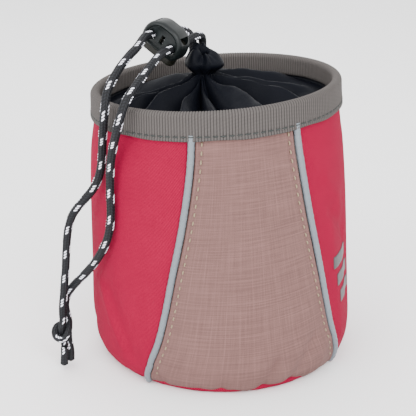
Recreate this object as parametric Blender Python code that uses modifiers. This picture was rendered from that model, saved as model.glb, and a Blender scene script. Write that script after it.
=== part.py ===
"""Treat pouch with a gathered closure, a two-hole cord lock and a belt loop.

Metres, +Z up. The origin is the centre of the flat underside, and the front panel faces -Y.
Angles round the wall start at the front and turn towards +X.
"""
import math

import bmesh
import bpy
from mathutils import Euler, Matrix, Vector

MM = 0.001
GAP = 0.3 * MM

# Pouch body
HEIGHT = 114.5 * MM
RIM_TILT = 3.0 * MM
RIM_LEAN = -3.0 * MM
SEAM_HEIGHT = 4.0 * MM
WALL_PROFILE = ((0.0, 50.8), (0.035, 52.4), (0.08, 54.0), (0.16, 54.6), (0.35, 53.7), (0.6, 52.4),
                (0.8, 50.8), (0.88, 49.5), (0.93, 48.8), (1.0, 48.4))
OUTER_FABRIC = 1.0 * MM
FOAM = 1.0 * MM
LINING = 0.6 * MM
WALL_COLUMNS = 48
FABRIC_TOP_DROP = 2.4 * MM

# Front panel and its piping
PANEL_EDGE = ((0.0, 49.0), (0.07, 46.0), (0.19, 40.0), (0.3, 36.5), (0.44, 32.8), (0.6, 28.4),
              (0.75, 25.2), (0.85, 23.8), (1.0, 23.2))
PIPING_RADIUS = 1.3 * MM

# Binding round the mouth
BINDING_DROP = 10.5 * MM
BINDING_INNER_DROP = 8.0 * MM
BINDING_TAPE = 1.0 * MM

# Gathered closure
NECK = Vector((-6.9, 5.7, 0.0)) * MM
NECK_HEIGHT = 114.4 * MM
NECK_RADIUS = 6.8 * MM
COLLAR_START = 105.0 * MM
COLLAR_FABRIC = 0.8 * MM
HEM_BASE = 115.0 * MM
HEM_TOP = 126.0 * MM
HEM_INNER = 3.0 * MM
HEM_OUTER = 7.8 * MM
HEM_FABRIC = 0.5 * MM
HEM_CORD_RADIUS = 5.4 * MM

# Drawstring
CORD_RADIUS = 1.65 * MM
CORD_STEP = 5.8 * MM
HEM_CORD_HEIGHT = 120.0 * MM
HEM_CORD_TURN = math.radians(284.0)
EXIT_ANGLE = math.radians(100.0)
EYELET_SPACING = 4.2 * MM
EYELET_RADIUS = 1.95 * MM
EYELET_DEPTH = 8.0 * MM

# Cord lock
LOCK_CENTRE = Vector((-22.5, 1.1, 130.6)) * MM
LOCK_TURN = Euler((math.radians(2.5), math.radians(32.8), math.radians(-38.5)))
LOCK_WIDTH = 17.8 * MM
LOCK_DEPTH = 9.0 * MM
LOCK_ROUNDING = 3.4 * MM
LOCK_BOTTOM = -4.6 * MM
LOCK_TOP = 7.0 * MM
HOLE_OFFSET = 4.9 * MM
HOLE_RADIUS = 2.0 * MM
CAVITY_WIDTH = 15.8 * MM
CAVITY_DEPTH = 7.2 * MM
CAVITY_TOP = 5.6 * MM
PRESS_TRAVEL = 2.5 * MM
PLUNGER_BOTTOM = -7.5 * MM
PLUNGER_TOP = 2.9 * MM
SPRING_BORE_BOTTOM = -2.8 * MM
SPRING_BORE_RADIUS = 2.3 * MM
SPRING_RADIUS = 1.7 * MM
SPRING_WIRE = 0.25 * MM
SPRING_TURNS = 5

# Carrying parts on the back
BELT_LOOP_WIDTH = 25.0 * MM
WEBBING = 1.5 * MM
BELT_LOOP_PATH = ((55.0, 12.0), (55.0, 19.0), (60.5, 23.5), (60.5, 62.5), (53.2, 67.0), (52.8, 75.0))
RING_AXIS = Vector((-2.3, 54.9, 88.0)) * MM
RING_WIRE = 1.1 * MM
RING_HALF_WIDTH = 7.6 * MM
RING_DROP = 10.0 * MM
TAB_WIDTH = 10.0 * MM
TAB_TAPE = 1.0 * MM
TAB_BACK_LEG = ((-4.6, 11.5), (-3.6, 4.0))
TAB_FRONT_LEG = ((1.2, 3.4), (-1.2, 5.4), (-2.2, 11.5))
TAB_WRAP_TURN = math.radians(200.0)
RING_CORNER = 2.0 * MM

# Base dish and inner layers; radii and heights of the dish in millimetres
SEAM_CLEARANCE = 0.15
BASE_TOP_SHARE = 0.035
BASE_RADIUS = 48.4
BASE_EDGE_REACH = 3.9
BASE_EDGE_RISE = 3.4
BASE_FLOOR = 1.2
BASE_INSIDE = ((47.9, 1.2), (50.2, 2.3))
BASE_LIP = 51.2
STIFFENER_RADIUS = 47.0 * MM
STIFFENER_LOW = 1.5 * MM
STIFFENER = 1.6 * MM
FLOOR_RADIUS = 46.5 * MM
FLOOR_LOW = 3.4 * MM
FOAM_START = 0.045
FOAM_SHARE = 0.84
LINING_START = 0.040
LINING_SHARE = 0.865

# Shares of a length at which a bent strip or tube has its points
PIPING_START = 0.02
PIPING_STEPS = 14
BINDING_OUTER_STOPS = (1.0, 0.66, 0.33)
BINDING_INNER_STOPS = (0.6, 1.0)
COLLAR_RISE = ((0.0, 0.0), (0.08, 0.08), (0.3, 0.2), (0.6, 0.42), (0.85, 0.62), (1.0, 1.0))
HEM_ROUNDING = 0.5


def clear_scene():
    for obj in list(bpy.data.objects):
        bpy.data.objects.remove(obj, do_unlink=True)


def new_collection(name):
    collection = bpy.data.collections.new(name)
    bpy.context.scene.collection.children.link(collection)
    return collection


clear_scene()
PARTS = new_collection("treat_pouch")
CUTTERS = new_collection("cutters")


def finish(name, color, roughness, metallic=0.0):
    material = bpy.data.materials.new(name)
    material.use_nodes = True
    shader = material.node_tree.nodes["Principled BSDF"]
    shader.inputs["Base Color"].default_value = (*color, 1.0)
    shader.inputs["Roughness"].default_value = roughness
    shader.inputs["Metallic"].default_value = metallic
    return material


RED = (0.60, 0.05, 0.10)
TAUPE = (0.42, 0.29, 0.26)
GREY_TAPE = (0.21, 0.18, 0.17)
REFLECTIVE = (0.45, 0.47, 0.50)
BLACK_NYLON = (0.02, 0.02, 0.025)
CORD_BLACK = (0.03, 0.03, 0.035)
LOCK_PLASTIC = (0.06, 0.07, 0.07)
WEBBING_BLACK = (0.03, 0.03, 0.03)
STEEL = (0.55, 0.55, 0.56)
FOAM_WHITE = (0.75, 0.75, 0.72)


def add_part(name, data, material, parent=None):
    """Link one object under its own material, placed in its parent's frame."""
    obj = bpy.data.objects.new(name, data)
    PARTS.objects.link(obj)
    data.materials.append(material)
    obj.parent = parent
    return obj


def add_empty(name, location, rotation=None):
    empty = bpy.data.objects.new(name, None)
    PARTS.objects.link(empty)
    empty.location = location
    if rotation is not None:
        empty.rotation_euler = rotation
    return empty


def mesh_from(bm, name):
    mesh = bpy.data.meshes.new(name)
    bm.to_mesh(mesh)
    bm.free()
    return mesh


def blend_table(table, t):
    """Read a smooth value from (position, value) rows, with level ends on each stretch's slopes."""
    rows = list(table)
    if t <= rows[0][0]:
        return rows[0][1]
    for index in range(len(rows) - 1):
        (t0, v0), (t1, v1) = rows[index], rows[index + 1]
        if t <= t1:
            before = rows[max(index - 1, 0)]
            after = rows[min(index + 2, len(rows) - 1)]
            span = t1 - t0
            slope0 = (v1 - before[1]) / (t1 - before[0]) * span
            slope1 = (after[1] - v0) / (after[0] - t0) * span
            s = (t - t0) / span
            rise = 3 * s * s - 2 * s ** 3
            return (v0 + (v1 - v0) * rise + slope0 * (s ** 3 - 2 * s * s + s)
                    + slope1 * (s ** 3 - s * s))
    return rows[-1][1]


def wall_radius(t):
    return blend_table(WALL_PROFILE, t) * MM


def panel_edge_angle(t):
    return math.radians(blend_table(PANEL_EDGE, t))


def wall_point(angle, t, inset=0.0, lift=0.0):
    """A point on the wall at a share t of its height, moved in by inset and up by lift."""
    radius = wall_radius(t) - inset
    x = radius * math.sin(angle) + RIM_LEAN * t
    z = t * (HEIGHT + RIM_TILT * math.sin(angle)) + lift
    return Vector((x, -radius * math.cos(angle), z))


def mapped_sheet(name, columns, rows, place, thickness, material, closed=False, outward=False):
    """Bend a flat grid into place(u, v) and give it a thickness behind its outer face."""
    bm = bmesh.new()
    bmesh.ops.create_grid(bm, x_segments=columns, y_segments=rows, size=0.5)
    for vertex in bm.verts:
        vertex.co = place(vertex.co.x + 0.5, vertex.co.y + 0.5)
    if closed:
        bmesh.ops.remove_doubles(bm, verts=bm.verts, dist=0.01 * MM)
    part = add_part(name, mesh_from(bm, name), material)
    solid = part.modifiers.new("thickness", "SOLIDIFY")
    solid.thickness = thickness
    solid.offset = 1.0 if outward else -1.0
    part.data.shade_smooth()
    return part


def turned(name, profile, steps, material, centre=Vector()):
    """Turn a profile, listed down its outer side and back up its inner side."""
    mesh = bpy.data.meshes.new(name)
    points = [(radius, 0.0, z) for radius, z in profile]
    mesh.from_pydata(points, [(i, i + 1) for i in range(len(points) - 1)], [])
    part = add_part(name, mesh, material)
    part.location = centre
    screw = part.modifiers.new("turn", "SCREW")
    screw.steps = steps
    screw.render_steps = steps
    screw.use_merge_vertices = True
    screw.merge_threshold = 0.01 * MM
    return part


def cord_curve(name, points, radius, cyclic=False, resolution=2):
    """A capped tube on a straight-segment spline through the points."""
    curve = bpy.data.curves.new(name, "CURVE")
    curve.dimensions = "3D"
    curve.bevel_depth = radius
    curve.bevel_resolution = resolution
    curve.use_fill_caps = not cyclic
    spline = curve.splines.new("POLY")
    spline.points.add(len(points) - 1)
    for point, place in zip(spline.points, points):
        point.co = (*place, 1.0)
    spline.use_cyclic_u = cyclic
    return curve


def smooth_route(points, spacing):
    """Points about spacing apart on a smooth curve through the given ones."""
    route = [Vector(point) for point in points]
    ends = [2 * route[0] - route[1], *route, 2 * route[-1] - route[-2]]
    dense = []
    for i in range(1, len(ends) - 2):
        p0, p1, p2, p3 = ends[i - 1:i + 3]
        for step in range(12):
            s = step / 12
            dense.append(0.5 * (2 * p1 + (p2 - p0) * s + (2 * p0 - 5 * p1 + 4 * p2 - p3) * s * s
                                + (3 * p1 - p0 - 3 * p2 + p3) * s ** 3))
    dense.append(route[-1])
    lengths = [0.0]
    for a, b in zip(dense, dense[1:]):
        lengths.append(lengths[-1] + (b - a).length)
    count = max(2, round(lengths[-1] / spacing))
    result = []
    index = 0
    for step in range(count + 1):
        target = lengths[-1] * step / count
        while index < len(dense) - 2 and lengths[index + 1] < target:
            index += 1
        stretch = lengths[index + 1] - lengths[index]
        share = (target - lengths[index]) / stretch if stretch else 0.0
        result.append(dense[index].lerp(dense[index + 1], share))
    return result


def cutter(name, mesh, matrix):
    obj = bpy.data.objects.new(name, mesh)
    CUTTERS.objects.link(obj)
    obj.matrix_world = matrix
    obj.hide_render = True
    obj.display_type = "WIRE"
    return obj


def cut(part, tool):
    boolean = part.modifiers.new("cut_" + tool.name, "BOOLEAN")
    boolean.operation = "DIFFERENCE"
    boolean.solver = "EXACT"
    boolean.object = tool


def cylinder_mesh(name, radius, depth, segments, matrix=Matrix()):
    bm = bmesh.new()
    bmesh.ops.create_cone(bm, cap_ends=True, segments=segments, radius1=radius, radius2=radius,
                          depth=depth, matrix=matrix)
    return mesh_from(bm, name)


def box_mesh(name, low, high):
    low, high = Vector(low), Vector(high)
    bm = bmesh.new()
    place = Matrix.Translation((low + high) / 2) @ Matrix.Diagonal((*(high - low), 1.0))
    bmesh.ops.create_cube(bm, size=1.0, matrix=place)
    return mesh_from(bm, name)


# ---------------------------------------------------------------- wall and base

def wall_panel(name, columns, edges, material):
    """A piece of the outer fabric between two edge angles, each a function of the height share."""
    low_edge, high_edge = edges
    start = SEAM_HEIGHT / HEIGHT

    def place(u, v):
        t = start + (1.0 - start) * v
        angle = low_edge(t) + (high_edge(t) - low_edge(t)) * u
        return wall_point(angle, t, lift=GAP * (1 - v) - FABRIC_TOP_DROP * v)

    return mapped_sheet(name, columns, 12, place, OUTER_FABRIC, material)


def seam_allowance(t):
    return (PIPING_RADIUS + GAP) / wall_radius(t)


def build_outer_panels():
    red = finish("red_softshell", RED, 0.85)
    taupe = finish("taupe_ripstop", TAUPE, 0.8)
    back_gap = GAP / 2 / wall_radius(0.5)
    wall_panel("front_panel", 10, (lambda t: -panel_edge_angle(t) + seam_allowance(t),
                                   lambda t: panel_edge_angle(t) - seam_allowance(t)), taupe)
    wall_panel("side_panel_right", 18, (lambda t: panel_edge_angle(t) + seam_allowance(t),
                                        lambda t: math.pi - back_gap), red)
    wall_panel("side_panel_left", 18, (lambda t: math.pi + back_gap,
                                       lambda t: 2 * math.pi - panel_edge_angle(t) - seam_allowance(t)), red)


def build_piping():
    material = finish("reflective_piping", REFLECTIVE, 0.35, 0.3)
    start = SEAM_HEIGHT / HEIGHT + PIPING_START
    stop = 1.0 - (BINDING_DROP + 2 * GAP) / HEIGHT
    for name, side in (("piping_left", -1), ("piping_right", 1)):
        points = []
        for step in range(PIPING_STEPS + 1):
            t = start + (stop - start) * step / PIPING_STEPS
            points.append(wall_point(side * panel_edge_angle(t), t))
        add_part(name, cord_curve(name, points, PIPING_RADIUS), material)


def build_base():
    red = finish("red_base", RED, 0.85)
    lip = SEAM_HEIGHT / MM - SEAM_CLEARANCE
    outer = [(wall_radius(BASE_TOP_SHARE) / MM, lip)]
    for step in range(1, 7):
        turn = math.pi / 2 * step / 6
        outer.append((BASE_RADIUS + BASE_EDGE_REACH * math.cos(turn), BASE_EDGE_RISE * (1 - math.sin(turn))))
    profile = [*outer, (0.0, 0.0), (0.0, BASE_FLOOR), *BASE_INSIDE, (BASE_LIP, lip), outer[0]]
    turned("base_panel", [(r * MM, z * MM) for r, z in profile], WALL_COLUMNS, red)


def disc(name, radius, low, thickness, material):
    centre = Matrix.Translation((0.0, 0.0, low + thickness / 2))
    add_part(name, cylinder_mesh(name, radius, thickness, WALL_COLUMNS, centre), material)


def build_inner_wall():
    foam = finish("foam_interlining", FOAM_WHITE, 0.95)
    lining = finish("lining_nylon", BLACK_NYLON, 0.6)
    board = finish("base_board", FOAM_WHITE, 0.7)
    disc("base_stiffener", STIFFENER_RADIUS, STIFFENER_LOW, STIFFENER, board)
    disc("lining_base", FLOOR_RADIUS, FLOOR_LOW, LINING, lining)
    foam_inset = OUTER_FABRIC + 2 * GAP
    lining_inset = foam_inset + FOAM + GAP

    def foam_place(u, v):
        return wall_point(2 * math.pi * u, FOAM_START + FOAM_SHARE * v, inset=foam_inset)

    def lining_place(u, v):
        return wall_point(2 * math.pi * u, LINING_START + LINING_SHARE * v, inset=lining_inset)

    mapped_sheet("wall_interlining", WALL_COLUMNS, 8, foam_place, FOAM, foam, closed=True)
    mapped_sheet("lining_wall", WALL_COLUMNS, 8, lining_place, LINING, lining, closed=True)


def build_binding():
    """Grosgrain tape folded over the wall's top edge: outer leg, round fold, inner leg."""
    tape = finish("grosgrain_binding", GREY_TAPE, 0.8)
    proud = BINDING_TAPE + GAP
    wall_stack = OUTER_FABRIC + GAP
    fold = (2 * proud + wall_stack) / 2
    path = [(-proud, BINDING_DROP * share) for share in BINDING_OUTER_STOPS]
    path += [(-proud + fold * (1 - math.cos(turn)), fold * (1 - math.sin(turn)))
             for turn in (math.pi * step / 6 for step in range(7))]
    path += [(wall_stack + proud, BINDING_INNER_DROP * share) for share in BINDING_INNER_STOPS]
    rows = len(path) - 1

    def place(u, v):
        inset, drop = path[round(v * rows)]
        return wall_point(2 * math.pi * u, 1.0 - drop / HEIGHT, inset=inset)

    mapped_sheet("rim_binding", WALL_COLUMNS, rows, place, BINDING_TAPE, tape, closed=True)


# ---------------------------------------------------------------- gathered closure

def build_collar():
    """Nylon collar from inside the binding to the gathered neck."""
    nylon = finish("collar_nylon", BLACK_NYLON, 0.45)
    rim_inset = OUTER_FABRIC + 3 * GAP + LINING + BINDING_TAPE
    start = COLLAR_START / HEIGHT

    def place(u, v):
        angle = 2 * math.pi * u
        rim = wall_point(angle, start, inset=rim_inset)
        neck = NECK + Vector((NECK_RADIUS * math.sin(angle), -NECK_RADIUS * math.cos(angle), NECK_HEIGHT))
        point = rim.lerp(neck, v)
        point.z = rim.z + (neck.z - rim.z) * blend_table(COLLAR_RISE, v)
        return point

    mapped_sheet("closure_collar", WALL_COLUMNS, 8, place, COLLAR_FABRIC, nylon, closed=True)


def build_hem():
    """The folded hem: two walls joined at the top, with the drawstring between them."""
    nylon = finish("hem_nylon", BLACK_NYLON, 0.45)
    middle = (HEM_INNER + HEM_OUTER) / 2
    half = (HEM_OUTER - HEM_INNER) / 2
    crown = HEM_TOP - half * HEM_ROUNDING

    def arch(radius, rise, turns):
        return [(middle + radius * math.cos(turn), crown + rise * math.sin(turn)) for turn in turns]

    inward = [math.pi * step / 6 for step in range(7)]
    outer = arch(half, half * HEM_ROUNDING, inward)
    inner = arch(half - HEM_FABRIC, half * HEM_ROUNDING - HEM_FABRIC, reversed(inward))
    profile = [(HEM_OUTER, HEM_BASE)] + outer + [(HEM_INNER, HEM_BASE), (HEM_INNER + HEM_FABRIC, HEM_BASE)]
    profile += inner + [(HEM_OUTER - HEM_FABRIC, HEM_BASE), (HEM_OUTER, HEM_BASE)]
    hem = turned("collar_hem", profile[::-1], 32, nylon, centre=NECK)
    for index, place in enumerate(eyelet_places()):
        mesh = cylinder_mesh("eyelet", EYELET_RADIUS, EYELET_DEPTH, 12)
        matrix = Matrix.Translation((place.x, place.y, HEM_TOP))
        cut(hem, cutter(f"eyelet_{index}", mesh, matrix))


def eyelet_places():
    """The two buttonholes at the back of the hem, where the tails come out."""
    out = Vector((math.cos(EXIT_ANGLE), math.sin(EXIT_ANGLE), 0.0))
    side = Vector((-out.y, out.x, 0.0))
    middle = NECK + out * HEM_CORD_RADIUS
    return [middle + side * EYELET_SPACING / 2, middle - side * EYELET_SPACING / 2]


# ---------------------------------------------------------------- drawstring

TAIL_LEFT = ((-9.9, 10.7, 122.6), (-9.9, 10.7, 125.4), (-9.9, 10.9, 127.9), (-10.9, 11.9, 130.5),
             (-13.2, 12.6, 132.0), (-16.3, 11.9, 132.5), (-19.6, 9.9, 132.9), (-23.0, 6.9, 133.4),
             (-25.7, 3.7, 133.3), (-28.7, 0.1, 133.1), (-31.6, -3.4, 132.9), (-35.7, -10.5, 130.3),
             (-39.1, -13.5, 128.0), (-43.2, -17.4, 124.6), (-46.4, -20.7, 121.1), (-48.7, -23.2, 117.7),
             (-49.8, -24.8, 114.8), (-50.5, -25.9, 111.0), (-51.0, -25.5, 106.8), (-51.2, -23.8, 102.2),
             (-51.4, -21.4, 96.5), (-51.6, -19.8, 90.9), (-52.2, -18.6, 85.9), (-53.5, -17.6, 81.2),
             (-55.6, -16.6, 77.2), (-58.4, -15.4, 73.5), (-61.1, -14.2, 70.0), (-63.4, -13.2, 66.3),
             (-64.9, -12.3, 61.7), (-65.8, -11.7, 56.5), (-66.4, -11.1, 50.3), (-66.9, -10.7, 44.1),
             (-67.6, -10.3, 37.9), (-68.4, -10.1, 31.3), (-69.0, -10.0, 25.9), (-69.2, -9.9, 21.4))
TAIL_RIGHT = ((-5.8, 11.4, 122.6), (-5.8, 11.5, 125.2), (-5.8, 11.4, 127.8), (-6.7, 9.9, 129.9),
              (-9.6, 7.2, 130.3), (-12.9, 4.8, 129.3), (-16.7, 1.6, 128.1), (-19.3, -1.5, 127.9),
              (-22.2, -5.0, 127.8), (-25.2, -8.5, 127.6), (-28.4, -13.1, 126.7), (-31.3, -17.7, 125.3),
              (-33.8, -21.0, 123.6), (-36.6, -24.6, 121.5), (-39.7, -28.2, 119.0), (-42.3, -31.1, 116.7),
              (-44.2, -33.1, 114.1), (-45.4, -34.2, 111.7), (-46.4, -34.7, 108.9), (-47.4, -33.3, 104.5),
              (-48.3, -30.3, 98.8), (-49.0, -27.8, 93.2), (-49.4, -26.5, 87.8), (-49.6, -26.0, 82.9),
              (-49.7, -25.6, 77.6), (-49.7, -25.5, 72.3), (-50.0, -25.3, 67.0), (-50.9, -24.7, 61.5),
              (-52.4, -23.3, 56.5), (-54.4, -21.0, 51.6), (-56.8, -17.7, 46.6), (-59.4, -14.3, 41.9),
              (-62.3, -11.3, 37.6), (-65.1, -8.9, 33.4), (-66.9, -7.2, 29.3), (-67.7, -6.7, 25.6),
              (-67.5, -6.9, 22.6), (-66.9, -7.6, 19.8))
KNOT_CENTRE = Vector((-70.1, -10.7, 15.2)) * MM
KNOT_SIZE = Vector((5.0, 4.7, 5.2)) * MM
END_LEFT = ((-69.3, -12.1, 9.0), (-69.6, -12.8, 5.1), (-70.1, -13.6, 1.0))
END_RIGHT = ((-67.2, -9.3, 9.4), (-66.9, -10.4, 5.6), (-67.2, -11.9, 1.8))


def build_drawstring():
    braid = finish("drawstring_braid", CORD_BLACK, 0.7)
    middle = EXIT_ANGLE + math.pi
    ring = []
    for step in range(25):
        angle = middle + HEM_CORD_TURN * (step / 24 - 0.5)
        ring.append(NECK + Vector((HEM_CORD_RADIUS * math.cos(angle), HEM_CORD_RADIUS * math.sin(angle),
                                   HEM_CORD_HEIGHT)))
    add_part("drawstring_hem", cord_curve("drawstring_hem", ring, CORD_RADIUS), braid)
    routes = {"drawstring_left": TAIL_LEFT, "drawstring_right": TAIL_RIGHT,
              "cord_end_left": END_LEFT, "cord_end_right": END_RIGHT}
    for name, route in routes.items():
        points = smooth_route([Vector(point) * MM for point in route], CORD_STEP)
        add_part(name, cord_curve(name, points, CORD_RADIUS), braid)
    bm = bmesh.new()
    place = Matrix.Translation(KNOT_CENTRE) @ Matrix.Diagonal((*KNOT_SIZE, 1.0))
    bmesh.ops.create_uvsphere(bm, u_segments=12, v_segments=8, radius=1.0, matrix=place)
    add_part("drawstring_knot", mesh_from(bm, "drawstring_knot"), braid)


# ---------------------------------------------------------------- cord lock

def build_cord_lock():
    """Local X runs along the line of the two holes, -Y is the way the tails leave, Z is the dome."""
    frame = Matrix.Translation(LOCK_CENTRE) @ LOCK_TURN.to_matrix().to_4x4()
    plastic = finish("lock_plastic", LOCK_PLASTIC, 0.4)
    press = finish("plunger_plastic", LOCK_PLASTIC, 0.5)
    steel = finish("spring_steel", STEEL, 0.3, 1.0)
    slide = add_empty("lock_slide_axis", LOCK_CENTRE, LOCK_TURN)

    half = Vector((LOCK_WIDTH / 2, LOCK_DEPTH / 2, 0.0))
    body_mesh = box_mesh("cord_lock_body", (-half.x, -half.y, LOCK_BOTTOM), (half.x, half.y, LOCK_TOP))
    body = add_part("cord_lock_body", body_mesh, plastic, slide)
    rounding = body.modifiers.new("rounding", "BEVEL")
    rounding.width = LOCK_ROUNDING
    rounding.segments = 3
    rounding.limit_method = "ANGLE"
    cavity = box_mesh("cavity", (-CAVITY_WIDTH / 2, -CAVITY_DEPTH / 2, LOCK_BOTTOM * 2),
                      (CAVITY_WIDTH / 2, CAVITY_DEPTH / 2, CAVITY_TOP))
    cut(body, cutter("cavity", cavity, frame))
    for index, side in enumerate((-1, 1)):
        turn = Matrix.Translation((side * HOLE_OFFSET, 0.0, 0.0)) @ Matrix.Rotation(math.pi / 2, 4, "X")
        hole = cylinder_mesh("hole", HOLE_RADIUS, 2 * LOCK_DEPTH, 16, turn)
        cut(body, cutter(f"hole_{index}", hole, frame))

    width = CAVITY_WIDTH / 2 - GAP
    depth = CAVITY_DEPTH / 2 - GAP
    plunger_mesh = box_mesh("cord_lock_plunger", (-width, -depth, PLUNGER_BOTTOM),
                            (width, depth, PLUNGER_TOP))
    plunger = add_part("cord_lock_plunger", plunger_mesh, press, slide)
    reach = CORD_RADIUS + GAP
    for index, side in enumerate((-1, 1)):
        x = side * HOLE_OFFSET
        low = (x - reach, -LOCK_DEPTH, -reach - PRESS_TRAVEL)
        window = box_mesh("window", low, (x + reach, LOCK_DEPTH, reach))
        cut(plunger, cutter(f"window_{index}", window, frame))
    bore_depth = PLUNGER_TOP - SPRING_BORE_BOTTOM
    bore_place = Matrix.Translation((0.0, 0.0, SPRING_BORE_BOTTOM + bore_depth))
    bore = cylinder_mesh("spring_bore", SPRING_BORE_RADIUS, 2 * bore_depth, 16, bore_place)
    cut(plunger, cutter("spring_bore", bore, frame))

    low = SPRING_BORE_BOTTOM + SPRING_WIRE + GAP
    high = CAVITY_TOP - SPRING_WIRE - GAP
    coil = []
    for step in range(SPRING_TURNS * 10 + 1):
        share = step / (SPRING_TURNS * 10)
        turn = 2 * math.pi * SPRING_TURNS * share
        coil.append(Vector((SPRING_RADIUS * math.cos(turn), SPRING_RADIUS * math.sin(turn),
                            low + (high - low) * share)))
    spring = cord_curve("cord_lock_spring", coil, SPRING_WIRE, resolution=1)
    add_part("cord_lock_spring", spring, steel, slide)


# ---------------------------------------------------------------- back

def build_belt_loop():
    webbing = finish("belt_webbing", WEBBING_BLACK, 0.85)
    rows = len(BELT_LOOP_PATH) - 1

    def place(u, v):
        y, z = BELT_LOOP_PATH[round(v * rows)]
        return Vector(((0.5 - u) * BELT_LOOP_WIDTH + RIM_LEAN / 3, y * MM, z * MM))

    mapped_sheet("belt_loop", 2, rows, place, WEBBING, webbing, outward=True)


def build_ring():
    """A D-ring that hangs by its straight bar from a sewn tab."""
    webbing = finish("tab_webbing", WEBBING_BLACK, 0.85)
    steel = finish("ring_steel", STEEL, 0.3, 1.0)
    axis = add_empty("ring_axis", RING_AXIS)
    outline = []
    for step in range(13):
        turn = math.pi * step / 12
        outline.append(Vector((RING_HALF_WIDTH * math.cos(turn), 0.0,
                               -RING_CORNER - (RING_DROP - RING_CORNER) * math.sin(turn))))
    outline += [Vector((RING_HALF_WIDTH * x, 0.0, 0.0)) for x in (-1, -0.5, 0, 0.5, 1)]
    add_part("d_ring", cord_curve("d_ring", outline, RING_WIRE, cyclic=True), steel, axis)

    wrap = (RING_WIRE + GAP + TAB_TAPE) / MM
    path = list(TAB_BACK_LEG)
    for step in range(7):
        turn = math.pi + TAB_WRAP_TURN * step / 6
        path.append((wrap * math.cos(turn), wrap * math.sin(turn)))
    path += TAB_FRONT_LEG
    rows = len(path) - 1

    def place(u, v):
        y, z = path[round(v * rows)]
        return RING_AXIS + Vector(((0.5 - u) * TAB_WIDTH, y * MM, z * MM))

    mapped_sheet("ring_tab", 2, rows, place, TAB_TAPE, webbing)


def main():
    build_outer_panels()
    build_piping()
    build_base()
    build_inner_wall()
    build_binding()
    build_collar()
    build_hem()
    build_drawstring()
    build_cord_lock()
    build_belt_loop()
    build_ring()


main()
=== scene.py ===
"""Looks of a treat pouch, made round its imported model.

The pouch is a stitched drum of red softshell and taupe ripstop on a foam wall, with a gathered nylon
closure, a braided drawstring in a two-hole lock, and a belt loop and D-ring on the back. Lengths are
in metres. The front panel faces -Y, and angles round the wall start there and turn towards +X.
"""

import logging
import math
from collections.abc import Callable, Iterable, Sequence
from dataclasses import dataclass
from enum import Enum

import bmesh
import bpy
import numpy as np
from mathutils import Euler, Matrix, Vector, noise


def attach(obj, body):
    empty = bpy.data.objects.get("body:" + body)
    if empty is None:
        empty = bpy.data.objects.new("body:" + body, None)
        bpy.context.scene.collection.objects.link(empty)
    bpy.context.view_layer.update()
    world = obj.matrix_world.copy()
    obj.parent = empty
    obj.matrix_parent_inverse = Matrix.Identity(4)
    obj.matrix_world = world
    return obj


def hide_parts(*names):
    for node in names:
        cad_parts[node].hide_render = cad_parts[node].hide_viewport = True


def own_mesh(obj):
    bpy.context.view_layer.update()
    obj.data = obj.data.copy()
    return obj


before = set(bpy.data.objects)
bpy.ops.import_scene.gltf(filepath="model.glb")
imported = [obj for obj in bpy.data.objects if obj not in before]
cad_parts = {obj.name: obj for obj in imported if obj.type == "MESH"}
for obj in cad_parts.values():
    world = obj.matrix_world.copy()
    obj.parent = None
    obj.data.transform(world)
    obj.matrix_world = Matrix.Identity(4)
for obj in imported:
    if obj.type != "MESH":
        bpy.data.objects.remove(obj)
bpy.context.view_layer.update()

LOG = logging.getLogger("treat_pouch")
MM = 0.001
TURN = 2 * math.pi
Route = Sequence[tuple[float, float, float]]
Color = tuple[float, float, float]


class Body(Enum):
    """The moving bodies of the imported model."""

    POUCH = "pouch"
    LOCK = "cord_lock"
    PLUNGER = "plunger"
    RING = "ring"


# ---------------------------------------------------------------- shader expressions


class Signal:
    """A node socket that takes part in Python arithmetic."""

    def __init__(self, graph: "Graph", socket: bpy.types.NodeSocket) -> None:
        """Keep the socket and the graph that it belongs to."""
        self.graph = graph
        self.socket = socket

    def math(self, operation: str, *others: "Signal | float") -> "Signal":
        """Run one Math node on this signal.

        Args:
            operation: The Math node's operation.
            others: Its further operands.

        Returns:
            The node's value.
        """
        return self.graph.calc(operation, self, *others)

    def __add__(self, other: "Signal | float") -> "Signal":
        """Sum."""
        return self.math("ADD", other)

    __radd__ = __add__

    def __mul__(self, other: "Signal | float") -> "Signal":
        """Product."""
        return self.math("MULTIPLY", other)

    __rmul__ = __mul__

    def __sub__(self, other: "Signal | float") -> "Signal":
        """Difference."""
        return self.math("SUBTRACT", other)

    def __rsub__(self, other: float) -> "Signal":
        """Difference from a number."""
        return self.graph.calc("SUBTRACT", other, self)

    def __truediv__(self, other: "Signal | float") -> "Signal":
        """Quotient."""
        return self.math("DIVIDE", other)

    def __abs__(self) -> "Signal":
        """Size without sign."""
        return self.math("ABSOLUTE")

    def __gt__(self, other: "Signal | float") -> "Signal":
        """One where this is above the other, else zero."""
        return self.math("GREATER_THAN", other)

    def __lt__(self, other: "Signal | float") -> "Signal":
        """One where this is below the other, else zero."""
        return self.math("LESS_THAN", other)

    def sin(self) -> "Signal":
        """Sine."""
        return self.math("SINE")

    def cos(self) -> "Signal":
        """Cosine."""
        return self.math("COSINE")

    def fraction(self) -> "Signal":
        """The part past the whole number below."""
        return self.math("FRACT")

    def ramp(self, low: float, high: float) -> "Signal":
        """Rise smoothly from 0 at low to 1 at high.

        Args:
            low: Value that gives 0.
            high: Value that gives 1.

        Returns:
            The clamped share.
        """
        settings = {"interpolation_type": "SMOOTHSTEP"}
        return self.graph.node("ShaderNodeMapRange", settings, {0: self, 1: low, 2: high, 3: 0.0, 4: 1.0})


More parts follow.
